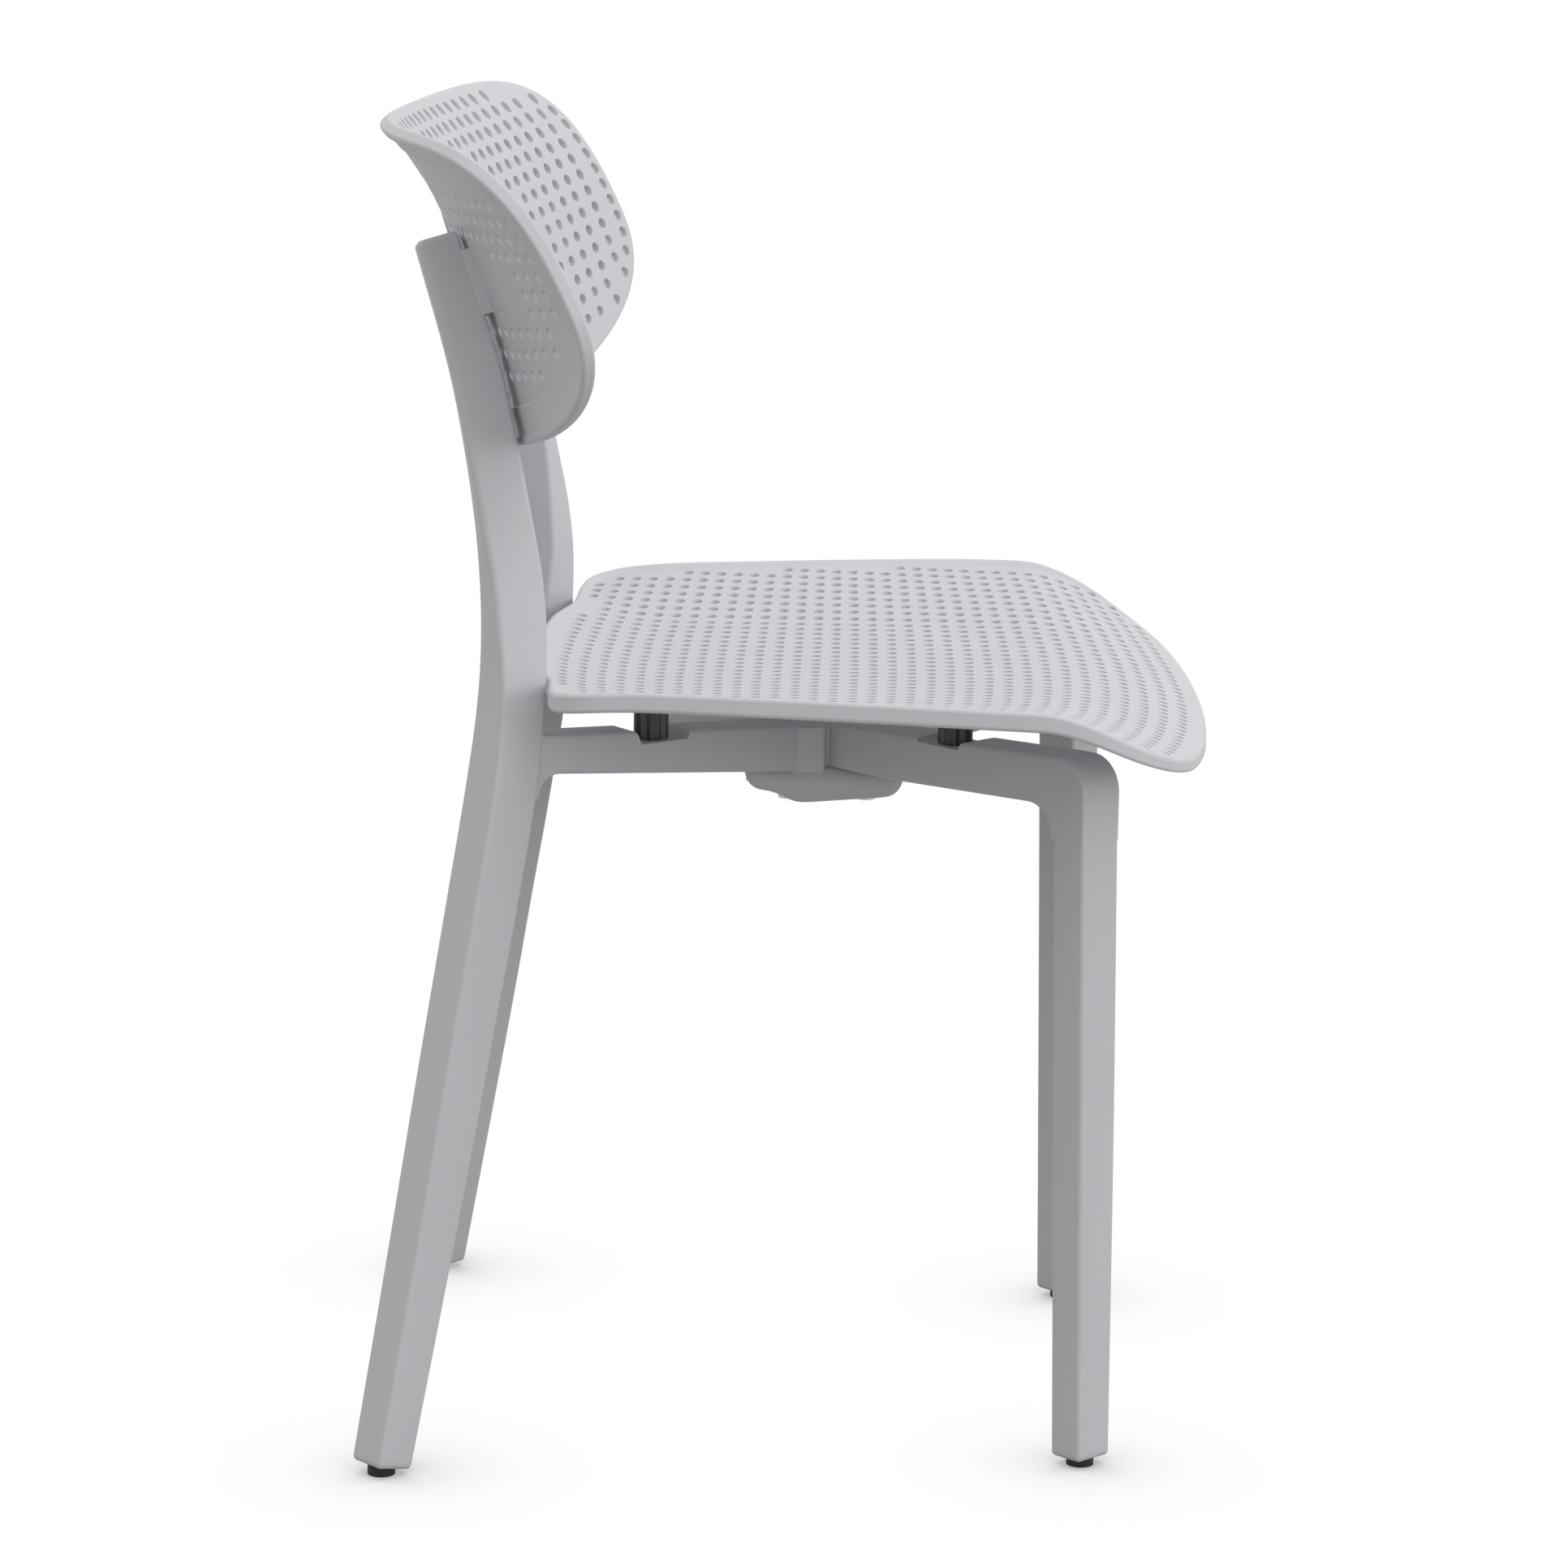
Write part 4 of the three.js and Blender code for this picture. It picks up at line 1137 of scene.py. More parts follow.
class Frames:
    """Both crossed frames, joined to their halves of the hub."""

    def __init__(self, hub_x: float) -> None:
        """Keeps the X of the hub in the part's frame."""
        self.hub_x = hub_x
        self.hub = Hub(HubSize())

    def moved(self, piece: bpy.types.Object, name: str) -> bpy.types.Object:
        """Moves a finished frame's mesh from hub coordinates to the part's frame.

        Args:
            piece: the frame.
            name: its name.

        Returns:
            The frame.
        """
        piece.data.transform(Matrix.Translation((self.hub_x, 0, 0)))
        piece.name = name
        return piece

    def across(self, back: float, front: float, high: float) -> bpy.types.Object:
        """A block over the hub's whole width, from below it, between two X places."""
        return block((back, -CUTTER_REACH, BELOW), (front, CUTTER_REACH, high), CUTTER_CORNER)

    def rear(self) -> bpy.types.Object:
        """The frame with the rear legs, the uprights, the rear arms and the tray.

        Returns:
            The linked object.
        """
        frame = CrossedFrame(REAR)
        solids = [frame.bar(-1)]
        for side in (1, -1):
            front_half = self.across(0, CUTTER_REACH, ABOVE)
            solids.append(combined(frame.arm(side), [front_half], "DIFFERENCE"))
        solids += [self.hub.tray(), self.hub.cheeks()]
        body = combined(frame.bar(1), solids, "UNION")
        cutters = [self.hub.pocket(0, ABOVE), *frame.cutters(), *self.hub.bolt_cutters()]
        return self.moved(combined(body, cutters, "DIFFERENCE"), "rear_moulding")

    def front(self) -> bpy.types.Object:
        """The frame with the front legs, the front arms and the block in the tray.

        Returns:
            The linked object.
        """
        frame = CrossedFrame(FRONT)
        hub = self.hub.size
        body = combined(frame.bar(1), [frame.bar(-1), frame.arm(1), frame.arm(-1)], "UNION")
        behind = self.across(-CUTTER_REACH, hub.gap, ABOVE)
        tray_end = hub.profile[-1][0] + hub.gap
        over_tray = self.across(-CUTTER_REACH, tray_end, hub.tray_top + hub.gap)
        body = combined(body, [behind, over_tray], "DIFFERENCE")
        body = combined(body, [self.hub.pocket(hub.gap, hub.block_top)], "UNION")
        return self.moved(combined(body, frame.cutters(), "DIFFERENCE"), "front_moulding")


# Seat


@dataclass(frozen=True)
class SeatSize:
    """Sizes of the seat, in metres, in hub coordinates.

    Attributes:
        outline: places of the left edge in millimetres, forward and side, from nose to tail.
        edge_lines: distances in millimetres inside the edge at which it gets further points.
        steps: rows and columns of holes each way from the middle, before the edge cuts them off.
        squeeze: how much the columns close up at squeeze_side.
    """

    outline: tuple = (
        (221.5, 0), (220, 60), (215.5, 117), (204, 179), (187.5, 212), (165, 235.8), (135, 245),
        (90, 244.5), (20, 233.5), (-50, 221), (-105, 211), (-135, 203), (-149, 190),
        (-154, 168), (-156.5, 128), (-166.5, 78), (-170, 0),
    )
    edge_lines: tuple = (0.15, 0.45, 0.9, 1.5, 2.2, 3.2, 3.9, 4.6, 5.3, 6.0)
    span_samples: int = 24
    edge_spacing: float = 4 * MM
    middle_height: float = 432 * MM
    thickness: float = 5 * MM
    rim_thickness: float = 8 * MM
    rim_width: float = 5 * MM
    rim_blend: float = 1.2 * MM
    rim_lift: float = 3 * MM
    lip_width: float = 4.6 * MM
    lip_slope: float = 2.6 * MM
    edge_radius: float = 2.2 * MM
    fold_side: float = 125 * MM
    fold_rise: float = 4.5 * MM
    wing_slope: float = 0.172
    wing_fade: float = 615 * MM
    fall_start: float = 118 * MM
    fall_length: float = 103 * MM
    drop: float = 20.5 * MM
    rise_start: float = 92 * MM
    rise_length: float = 78 * MM
    lift: float = 11 * MM
    wing_drop: float = 1.07
    hole_radius: float = 3.1 * MM
    hole_chamfer: float = 0.5 * MM
    hole_sides: int = 12
    steps: int = 24
    squeeze: float = 0.13
    squeeze_side: float = 240 * MM
    row_pitch: float = 12 * MM
    column_pitch: float = 11.3 * MM
    straight_column: float = -7 * MM
    margin: float = 8.6 * MM
    nose_margin_less: float = 2.2 * MM


class Seat:
    """The dished, perforated seat."""

    def __init__(self, size: SeatSize, hub_x: float) -> None:
        """Keeps the sizes.

        Args:
            size: the seat's sizes.
            hub_x: X of the hub in the part's frame.
        """
        self.size = size
        self.hub_x = hub_x
        half = np.array(size.outline) * MM
        mirrored = half[1:-1][::-1] * [1, -1]
        curve = closed_curve(np.vstack([half, mirrored]), size.span_samples)
        self.outline = resampled(curve, size.edge_spacing)

    def flattening(self, x: np.ndarray) -> np.ndarray:
        """Share of the dish that is left at a place forward: a smooth step from 1 to 0."""
        s = self.size
        return 1 - soft_step((x - s.fall_start) / s.fall_length - 0.5)

    def height(self, x: np.ndarray, y: np.ndarray) -> np.ndarray:
        """Height of the seat's upper face.

        It is the middle height, plus a shallow parabola to the fold and a straight slope beyond it
        that gets less towards the nose, both flattened on the nose, plus a rise to the tail that is
        less at its corners, less a parabolic fall to the nose.

        Args:
            x: places forward of the hub.
            y: places across.

        Returns:
            Heights.
        """
        s = self.size
        side = np.abs(y)
        inner = s.fold_rise * (np.minimum(side, s.fold_side) / s.fold_side) ** 2
        outer = s.wing_slope * (1 - x / s.wing_fade) * np.maximum(0, side - s.fold_side)
        fall = np.maximum(0, (x - s.fall_start) / s.fall_length)
        rise = np.maximum(0, (-x - s.rise_start) / s.rise_length) ** 2
        dish = (inner + outer) * self.flattening(x)
        return s.middle_height + dish + (s.lift - outer * s.wing_drop) * rise - s.drop * fall**2

    def lift(self, plan: np.ndarray, face: Face, depth: float) -> np.ndarray:
        """Places of plan points on one face of the seat.

        Args:
            plan: N by 2 points.
            face: which face.
            depth: how far below that face.

        Returns:
            N by 3 places in the part's frame.
        """
        s = self.size
        x, y = plan[:, 0], plan[:, 1]
        z = self.height(x, y)
        inside = np.maximum(0, depth_inside(plan, self.outline))
        curl = quarter_drop(-inside, s.edge_radius)
        if face is Face.SHOWN:
            lip = s.rim_lift * soft_step((s.lip_width - inside) / s.lip_slope)
            z = z + lip * self.flattening(x) - curl - depth
        else:
            blend = np.clip((s.rim_width - inside) / s.rim_blend + 0.5, 0, 1)
            thick = s.thickness + (s.rim_thickness - s.thickness) * blend
            z = z - thick + curl + depth
        return np.stack([x + self.hub_x, y, z], 1)

    def holes(self) -> np.ndarray:
        """Middles of the holes on the plan.

        Returns:
            N by 2 points.
        """
        s = self.size
        steps = np.arange(-s.steps, s.steps + 1)
        a, b = np.meshgrid(steps * s.column_pitch, steps * s.row_pitch, indexing="ij")
        x = s.straight_column + a * (1 - s.squeeze * (b / s.squeeze_side) ** 2)
        plan = np.stack([x.ravel(), b.ravel()], 1)
        margin = s.margin - s.nose_margin_less * (1 - self.flattening(plan[:, 0]))
        return plan[depth_inside(plan, self.outline) > margin]

    def filler(self) -> np.ndarray:
        """Plan points along the edge, so that its rounding and its lip are smooth."""
        return np.vstack([inward(self.outline, d * MM) for d in self.size.edge_lines])

    def build(self) -> bpy.types.Object:
        """Builds the seat.

        Returns:
            The linked object.
        """
        s = self.size
        sheet = PerforatedSheet(
            outline=self.outline,
            through=self.holes(),
            blind=np.zeros((0, 2)),
            hole_radius=s.hole_radius,
            chamfer=s.hole_chamfer,
            segments=s.hole_sides,
            filler=self.filler(),
        )
        return sheet.build("seat", self.lift)


# Back

# Guards against a division by zero in the middle of the back.
TINY = 1e-6


@dataclass(frozen=True)
class BackSize:
    """Sizes of the back, in metres, in hub coordinates.

    Attributes:
        edge_samples: points of the edge before it is resampled.
        edge_lines: distances inside the edge at which it gets further points.
        line_samples: points along the border's inner line.
        line_gap: distance between the three rows of points there.
        slope_step: distance over which the surface's slope is measured.
        row_bend: how much more each row bends than the one above it, and row_bend_growth how
            much that grows.
        row_step: distance between the places tried for a row's last hole.
        last_gap: least distance of the last hole from the one before it.
    """

    half_width: float = 243 * MM
    middle_height: float = 670 * MM
    rise_up: float = 80 * MM
    rise_down: float = 101 * MM
    top_fullness: float = 6.6
    bottom_fullness: float = 2.15
    corner_lift: float = 9.5 * MM
    top_back: float = 261 * MM
    top_height: float = 750 * MM
    lean: float = 0.145
    flare: float = 42.5 * MM
    flare_length: float = 52 * MM
    wrap: float = 50 * MM
    wrap_growth: float = 9 * MM
    wrap_side: float = 200 * MM
    wrap_height: float = 100 * MM
    wrap_power: float = 1.65
    thickness: float = 5.6 * MM
    border_step: float = 1.1 * MM
    border_blend: float = 1.2 * MM
    border_side: float = 22 * MM
    border_end: float = 12 * MM
    lip_step: float = 1.6 * MM
    lip_width: float = 5 * MM
    lip_blend: float = 3 * MM
    edge_radius: float = 1.8 * MM
    edge_samples: int = 1440
    edge_spacing: float = 3.5 * MM
    edge_lines: tuple = (0.2 * MM, 0.6 * MM, 1.2 * MM, 2 * MM)
    line_samples: int = 420
    line_gap: float = 0.6 * MM
    slope_step: float = 0.5 * MM
    hole_radius: float = 3.0 * MM
    hole_stretch: float = 1.15
    hole_chamfer: float = 0.5 * MM
    hole_sides: int = 14
    first_row: float = 742 * MM
    row_pitch: float = 8.5 * MM
    row_growth: float = 0.2 * MM
    rows: int = 15
    row_curve: float = 0.00012 / MM
    row_bend: float = 0.00001 / MM
    row_bend_growth: float = 0.0000018 / MM
    row_step: float = 0.2 * MM
    columns: int = 26
    column_pitch: float = 11.7 * MM
    column_growth: float = 0.007 * MM
    last_gap: float = 10 * MM
    edge_inset: float = 8 * MM
    inset_slack: float = 0.05 * MM
    blind_inset: float = 26.5 * MM
    pad_sides: tuple = (84 * MM, 172 * MM)
    pad_heights: tuple = (655 * MM, 689 * MM)


class Back:
    """The curved, perforated back with a raised border on its rear face."""

    def __init__(self, size: BackSize, hub_x: float) -> None:
        """Keeps the sizes.

        Args:
            size: the back's sizes.
            hub_x: X of the hub in the part's frame.
        """
        self.size = size
        self.hub_x = hub_x
        turn = np.linspace(0, 2 * math.pi, size.edge_samples, endpoint=False)
        self.outline = resampled(self.edge(turn), size.edge_spacing)

    def fullness(self, above: np.ndarray) -> np.ndarray:
        """Power of the superellipse above the middle height, or below it."""
        return np.where(above, self.size.top_fullness, self.size.bottom_fullness)

    def unit_edge(self, turn: np.ndarray) -> tuple[np.ndarray, np.ndarray, np.ndarray]:
        """A superellipse with two fullnesses, one above the middle height and one below it.

        Args:
            turn: angles from the +Y axis.

        Returns:
            Which points are above, and the shares of the half width and of the rise.
        """
        above = np.sin(turn) > 0
        power = self.fullness(above)
        reach = (np.abs(np.cos(turn)) ** power + np.abs(np.sin(turn)) ** power) ** (-1 / power)
        return above, reach * np.cos(turn), reach * np.sin(turn)

    def corner_lift(self, above: np.ndarray, y: np.ndarray) -> np.ndarray:
        """How much the upper part rises towards its corners: a parabola, and nothing below."""
        return np.where(above, self.size.corner_lift * (y / self.size.half_width) ** 2, 0)

    def border_rise(self, above: np.ndarray) -> np.ndarray:
        """Height of the border's inner line over the middle, or its depth below it."""
        s = self.size
        return np.where(above, s.rise_up - s.border_end, s.rise_down - s.border_side)

    def edge(self, turn: np.ndarray) -> np.ndarray:
        """The back's edge, seen from the front: the superellipse, with its upper corners lifted.

        Args:
            turn: angles from the +Y axis.

        Returns:
            N by 2 points, Y and Z.
        """
        s = self.size
        above, side, rise = self.unit_edge(turn)
        y = side * s.half_width
        z = rise * (np.where(above, s.rise_up, s.rise_down) + self.corner_lift(above, y))
        return np.stack([y, s.middle_height + z], 1)

    def forward(self, y: np.ndarray, z: np.ndarray) -> np.ndarray:
        """X of the back's rear face: a leaning line that flares at the top and wraps at the sides.

        Args:
            y: places across.
            z: heights.

        Returns:
            Places forward of the hub.
        """
        s = self.size
        drop = s.top_height - z
        spine = s.lean * drop + s.flare * (1 - np.exp(-drop / s.flare_length))
        wrap = s.wrap + s.wrap_growth * drop / s.wrap_height
        return -s.top_back + spine + wrap * (np.abs(y) / s.wrap_side) ** s.wrap_power

    def lift(self, plan: np.ndarray, face: Face, depth: float) -> np.ndarray:
        """Places of plan points on one face of the back.

        Args:
            plan: N by 2 points, Y and Z.
            face: SHOWN is the front face that a sitter leans on.
            depth: how far below that face.

        Returns:
            N by 3 places in the part's frame.
        """
        s = self.size
        y, z = plan[:, 0], plan[:, 1]
        x = self.forward(y, z)
        step = s.slope_step
        slope_y = (self.forward(y + step, z) - self.forward(y - step, z)) / (2 * step)
        slope_z = (self.forward(y, z + step) - self.forward(y, z - step)) / (2 * step)
        normal = np.stack([np.ones_like(y), -slope_y, -slope_z], 1)
        normal /= np.linalg.norm(normal, axis=1)[:, None]
        inside = np.maximum(0, depth_inside(plan, self.outline))
        curl = quarter_drop(-inside, s.edge_radius)
        if face is Face.SHOWN:
            offset = s.thickness - curl - depth
        else:
            border = soft_step(self.border_depth(plan) / s.border_blend)
            lip = soft_step((s.lip_width - inside) / s.lip_blend)
            offset = -s.border_step * border - s.lip_step * lip + curl + depth
        base = np.stack([x + self.hub_x, y, z], 1)
        return base + normal * offset[:, None]

    def border_depth(self, plan: np.ndarray) -> np.ndarray:
        """Distance of plan points beyond the inner line of the border.

        The line is a superellipse like the edge, smaller by the border's two widths. The distance
        is the superellipse's own measure over the length of its gradient.

        Args:
            plan: N by 2 points, Y and Z.

        Returns:
            N distances, positive on the border.
        """
        s = self.size
        above = plan[:, 1] > s.middle_height
        power = self.fullness(above)
        wide, tall = s.half_width - s.border_side, self.border_rise(above)
        y = np.abs(plan[:, 0]) / wide
        lift = self.corner_lift(above, plan[:, 0])
        z = np.abs(plan[:, 1] - lift - s.middle_height) / tall
        level = (y**power + z**power) ** (1 / power)
        safe = np.maximum(level, TINY)
        slope = np.hypot((y / safe) ** (power - 1) / wide, (z / safe) ** (power - 1) / tall)
        return (level - 1) / np.maximum(slope, TINY)

    def row(self, order: int) -> tuple[np.ndarray, np.ndarray]:
        """Middles of the holes of one row: it bends up towards the sides.

        Args:
            order: 0 for the top row.

        Returns:
            N by 2 plan points and how far each lies inside the edge.
        """
        s = self.size
        middle = s.first_row - s.row_pitch * order - s.row_growth * order**2
        curve = s.row_curve + s.row_bend * order + s.row_bend_growth * order**2
        run = np.arange(0, s.half_width, s.row_step)
        line = np.stack([run, middle + curve * run**2], 1)
        depth = depth_inside(line, self.outline)
        inner = np.nonzero(depth >= s.edge_inset - s.inset_slack)[0]
        if not len(inner):
            return np.zeros((0, 2)), np.zeros(0)
        last = run[inner[-1]]
        step = np.arange(0, s.columns)
        side = s.column_pitch * step + s.column_growth * step**3
        side = np.append(side[side < last - s.last_gap], last)
        both = np.unique(np.concatenate([side, -side]))
        plan = np.stack([both, middle + curve * both**2], 1)
        return plan, depth_inside(plan, self.outline)

    def holes(self) -> tuple[np.ndarray, np.ndarray]:
        """Middles of the holes.

        Returns:
            Those that go through and those that are blind, on the border and over the blocks.
        """
        s = self.size
        rows = [self.row(order) for order in range(s.rows)]
        plan = np.vstack([row[0] for row in rows])
        side = np.abs(plan[:, 0])
        on_pad = (side > s.pad_sides[0]) & (side < s.pad_sides[1])
        on_pad &= (plan[:, 1] > s.pad_heights[0]) & (plan[:, 1] < s.pad_heights[1])
        through = (np.concatenate([row[1] for row in rows]) > s.blind_inset) & ~on_pad
        return plan[through], plan[~through]

    def filler(self) -> np.ndarray:
        """Plan points that follow the edge and the step of the border.

        Returns:
            N by 2 points.
        """
        s = self.size
        near_lip = (s.lip_width - s.lip_blend / 2, s.lip_width, s.lip_width + s.lip_blend / 2)
        lines = [inward(self.outline, d) for d in (*s.edge_lines, *near_lip)]
        turn = np.linspace(0, 2 * math.pi, s.line_samples, endpoint=False)
        for shift in (-1, 0, 1):
            lines.append(self.border_line(turn, shift * s.line_gap))
        return np.vstack(lines)

    def border_line(self, turn: np.ndarray, shift: float) -> np.ndarray:
        """Points along the inner line of the border.

        Args:
            turn: angles from the +Y axis.
            shift: how far outside that line.

        Returns:
            N by 2 plan points.
        """
        s = self.size
        above, side, rise = self.unit_edge(turn)
        y = side * (s.half_width - s.border_side + shift)
        z = rise * (self.border_rise(above) + shift) + self.corner_lift(above, y)
        return np.stack([y, s.middle_height + z], 1)

    def build(self) -> bpy.types.Object:
        """Builds the back.

        Returns:
            The linked object.
        """
        s = self.size
        through, blind = self.holes()
        sheet = PerforatedSheet(
            outline=self.outline,
            through=through,
            blind=blind,
            hole_radius=s.hole_radius,
            chamfer=s.hole_chamfer,
            segments=s.hole_sides,
            stretch=s.hole_stretch,
            filler=self.filler(),
        )
        return sheet.build("back", self.lift)


# Studio


@dataclass(frozen=True)
class CameraFit:
    """The camera that the photograph fits, in hub coordinates."""

    focal_pixels: float = 6830.0
    photo_pixels: float = 1932.0
    sensor: float = 36.0
    pitch: float = 12.1
    yaw: float = -0.9
    roll: float = 0.85
    x: float = 26 * MM
    y: float = -3200 * MM
    z: float = 1048 * MM
    clip_end: float = 50.0

    def build(self, hub_x: float) -> bpy.types.Object:
        """Makes the camera.

        Args:
            hub_x: X of the hub in the part's frame.

        Returns:
            The camera object.
        """
        pitch, yaw, roll = (math.radians(v) for v in (self.pitch, self.yaw, self.roll))
        right = Vector((math.cos(yaw), -math.sin(yaw), 0))
        level = Vector((math.sin(yaw), math.cos(yaw), 0))
        ahead = level * math.cos(pitch) - Vector((0, 0, math.sin(pitch)))
        up = right.cross(ahead)
        across = right * math.cos(roll) + up * math.sin(roll)
        above = -right * math.sin(roll) + up * math.cos(roll)
        data = bpy.data.cameras.new("camera")
        data.sensor_width = self.sensor
        data.lens = self.focal_pixels / self.photo_pixels * self.sensor
        data.clip_end = self.clip_end
        camera = bpy.data.objects.new("camera", data)
        bpy.context.scene.collection.objects.link(camera)
        camera.matrix_world = Matrix(
            (
                (across.x, above.x, -ahead.x, self.x + hub_x),
                (across.y, above.y, -ahead.y, self.y),
                (across.z, above.z, -ahead.z, self.z),
                (0, 0, 0, 1),
            )
        )
        bpy.context.scene.camera = camera
        return camera


@dataclass(frozen=True)
class StudioLight:
    """The levels of the light.

    Attributes:
        ambient: how bright the surroundings are on average.
        lean: how much brighter they get towards each axis.
        floor_bounce: how much light the floor throws back.
        shadow: how dark the floor gets right under a foot.
        key_from: where the soft key light comes from.
        key_strength: its strength.
        key_angle: how wide it looks, in degrees.
        top_power: power of the light overhead, in watts.
        top_size: side of that square light.
        top_place: where it is.
        top_target: what it points at.
        floor_reach: half the side of the floor.
        shade_reach: how far from a foot the floor is shaded.
        shade_rays: how many rays look for a foot.
        shade_open: shares of open rays from full shade to none.
    """

    ambient: float = 0.74
    lean: tuple = (0.14, -0.06, 0.32)
    floor_bounce: str = "949494"
    shadow: str = "B6B6B6"
    key_from: tuple = (0.8, -0.6, 0.25)
    key_strength: float = 0.5
    key_angle: float = 30.0
    top_power: float = 5.0
    top_size: float = 1.4
    top_place: tuple = (0.9, -0.7, 2.6)
    top_target: tuple = (0, 0, 0.45)
    floor_reach: float = 30.0
    shade_reach: float = 0.12
    shade_rays: int = 24
    shade_open: tuple = (0.35, 0.97)


def backdrop(nodes: NodeTree, lit: bpy.types.Node, seen: bpy.types.Node) -> bpy.types.NodeSocket:
    """Shows one shader to camera, glossy and transmission rays, and another to all the rest.

    Args:
        nodes: the tree to add to.
        lit: the shader that lights the chair.
        seen: the shader of the white backdrop.

    Returns:
        The output socket.
    """
    rays = nodes.add("LightPath").outputs
    direct = nodes.add(
        "Math", {0: rays["Is Camera Ray"], 1: rays["Is Glossy Ray"]}, operation="MAXIMUM"
    )
    every = nodes.add(
        "Math", {0: direct.outputs[0], 1: rays["Is Transmission Ray"]}, operation="MAXIMUM"
    )
    shaders = {0: every.outputs[0], 1: lit.outputs[0], 2: seen.outputs[0]}
    return nodes.add("MixShader", shaders).outputs[0]


class Studio:
    """A white cove with soft light."""

    def __init__(self, level: StudioLight) -> None:
        """Keeps the levels of the light."""
        self.level = level

    def floor(self) -> bpy.types.Object:
        """Makes the floor: white to the camera but for the shade under the feet.

        Returns:
            The floor object.
        """
        level = self.level
        corners = np.array([[-1, -1, 0], [1, -1, 0], [1, 1, 0], [-1, 1, 0]]) * level.floor_reach
        piece = mesh_object("floor", corners, [np.array([[0, 1, 2, 3]])])
        material = bpy.data.materials.new("floor")
        material.use_nodes = True
        nodes = NodeTree(material.node_tree)
        bounce = nodes.add("BsdfDiffuse", {"Color": linear(level.floor_bounce)})
        near = nodes.add(
            "AmbientOcclusion", {"Distance": level.shade_reach}, samples=level.shade_rays
        )
        shut, clear = level.shade_open
        shade = nodes.add("MapRange", {0: near.outputs["AO"], 1: shut, 2: clear})
        tones = {0: shade.outputs[0], 6: linear(level.shadow), 7: linear(WHITE)}
        tint = nodes.add("Mix", tones, data_type="RGBA")
        seen = nodes.add("Emission", {"Color": tint.outputs[2], "Strength": 1.0})
        nodes.add("OutputMaterial", {"Surface": backdrop(nodes, bounce, seen)})
        piece.data.materials.append(material)
        piece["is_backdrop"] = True
        return piece

    def lamp(self, name: str, kind: str, ahead: Vector, power: float) -> bpy.types.Object:
        """Adds one light at the origin.

        Args:
            name: its name.
            kind: AREA or SUN.
            ahead: the direction that it points in.
            power: its power in watts, or the strength of a sun.

        Returns:
            The light's object.
        """
        data = bpy.data.lights.new(name, kind)
        data.energy = power
        lamp = bpy.data.objects.new(name, data)
        bpy.context.scene.collection.objects.link(lamp)
        lamp.rotation_euler = ahead.to_track_quat("-Z", "Y").to_euler()
        return lamp

    def lights(self) -> None:
        """Adds a square soft light overhead, and a wide, soft key light from the front right."""
        level = self.level
        ahead = Vector(level.top_target) - Vector(level.top_place)
        top = self.lamp("top", "AREA", ahead, level.top_power)
        top.data.size = level.top_size
        top.location = level.top_place
        key = self.lamp("key", "SUN", -Vector(level.key_from), level.key_strength)
        key.data.angle = math.radians(level.key_angle)

    def world(self) -> None:
        """Makes the surroundings: white to the camera, and as light brighter above and in front."""
        world = bpy.data.worlds.new("studio")
        world.use_nodes = True
        bpy.context.scene.world = world
        nodes = NodeTree(world.node_tree)
        toward = nodes.add("TexCoord").outputs["Generated"]
        lean = nodes.add("VectorMath", {0: toward, 1: self.level.lean}, operation="DOT_PRODUCT")
        terms = {0: lean.outputs["Value"], 1: self.level.ambient}
        level = nodes.add("Math", terms, operation="ADD")
        lit = nodes.add("Background", {"Color": linear(WHITE), "Strength": level.outputs[0]})
        seen = nodes.add("Background", {"Color": linear(WHITE), "Strength": 1.0})
        nodes.add("OutputWorld", {"Surface": backdrop(nodes, lit, seen)})

    def build(self) -> None:
        """Builds the floor, the lights and the surroundings."""
        self.floor()
        self.lights()
        self.world()
        view = bpy.context.scene.view_settings
        view.view_transform, view.look = "Standard", "None"


# Chair


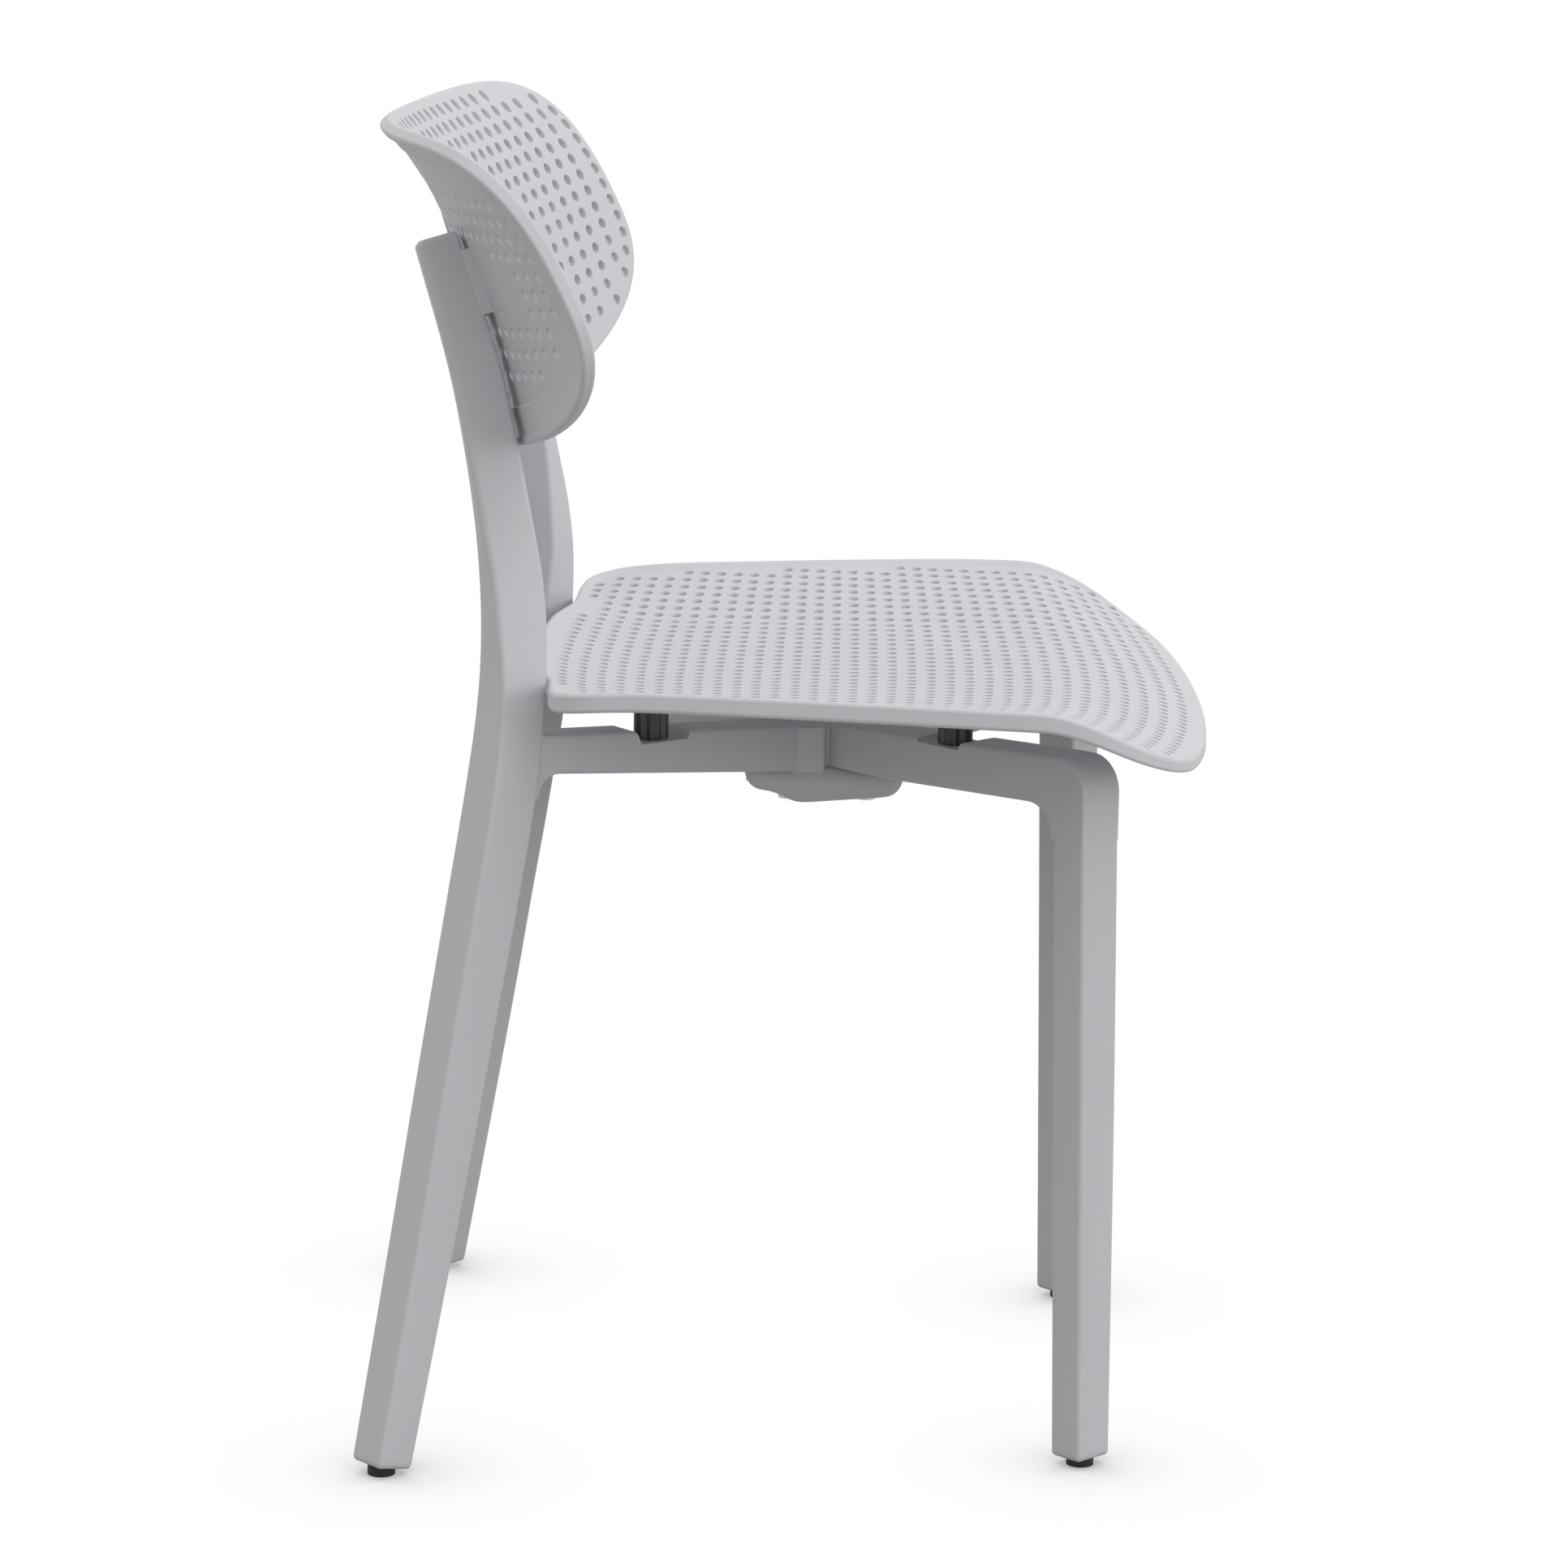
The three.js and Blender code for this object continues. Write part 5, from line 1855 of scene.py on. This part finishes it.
class Chair:
    """The whole chair: the pieces made here, and the CAD nodes that are shown as they are."""

    FRONT_FOOT = -FRONT.stations[0][1] * MM

    def __init__(self, frame: dict) -> None:
        """Finds the hub and makes the materials.
        """
        self.nodes = frame["nodes"]
        low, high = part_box("glide_front_right")
        self.hub_x = (low.x + high.x) / 2 - self.FRONT_FOOT
        # Light grey polypropylene looks even and matt, the nylon of the posts darker and satin,
        # their dark grey being partly the nylon's own tone and partly painted shade from under the
        # seat, and the feet dull black. Zinc gives a bluish grey metal and turned brass a yellow
        # one.
        finishes = {
            "frame_plastic": MouldedPlastic("moulded polypropylene frame", "C2C2C6"),
            "shell_plastic": MouldedPlastic("moulded polypropylene shell", "C8C8CC"),
            # The posts' dark grey is partly their own tone and partly painted shade from under the
            # seat.
            "post_plastic": MouldedPlastic("moulded nylon post with painted shade", "414143", roughness=0.4),
            "glide_plastic": MouldedPlastic("moulded nylon glide", "1C1C1E", roughness=0.7),
            "steel": PlatedMetal("zinc plated steel", "B8BABD"),
            "brass": PlatedMetal("turned brass", "C9A860"),
        }
        self.materials = {slot: finish.build() for slot, finish in finishes.items()}

    def dress(self, piece: bpy.types.Object, slot: str) -> None:
        """Gives a piece the material of one of the record's slots."""
        piece.data.materials.clear()
        piece.data.materials.append(self.materials[slot])

    def add(self, piece: bpy.types.Object, node: str, slot: str) -> None:
        """Puts a new piece in the place of a CAD node.

        Args:
            piece: the new object.
            node: the CAD node that it stands for.
            slot: the record's material slot.
        """
        self.dress(piece, slot)
        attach(piece, "root")
        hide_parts(node)

    def build(self, record: dict) -> None:
        """Builds every piece and dresses every node.

        Args:
            record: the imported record, for each node's slot.
        """
        slots = {entry["node"]: entry["material_slot"] for entry in record["subparts"]}
        for name, node in self.nodes.items():
            self.dress(node, slots[name])
        frames = Frames(self.hub_x)
        self.add(frames.rear(), "rear_frame", "frame_plastic")
        self.add(frames.front(), "front_frame", "frame_plastic")
        self.add(Seat(SeatSize(), self.hub_x).build(), "seat_shell", "shell_plastic")
        self.add(Back(BackSize(), self.hub_x).build(), "back_shell", "shell_plastic")


def plain(box: tuple) -> list:
    """A box of vectors as plain lists.


    Returns:
        Nested lists of floats.
    """
    return [[float(v) for v in corner] for corner in box]


def main() -> None:
    """Builds the scene."""
    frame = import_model()
    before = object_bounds()
    chair = Chair(frame)
    chair.build(frame["record"])
    CameraFit().build(chair.hub_x)
    Studio(StudioLight()).build()
    {"cad": plain(before), "visual": plain(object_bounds())}


if __name__ == "__main__":
    main()
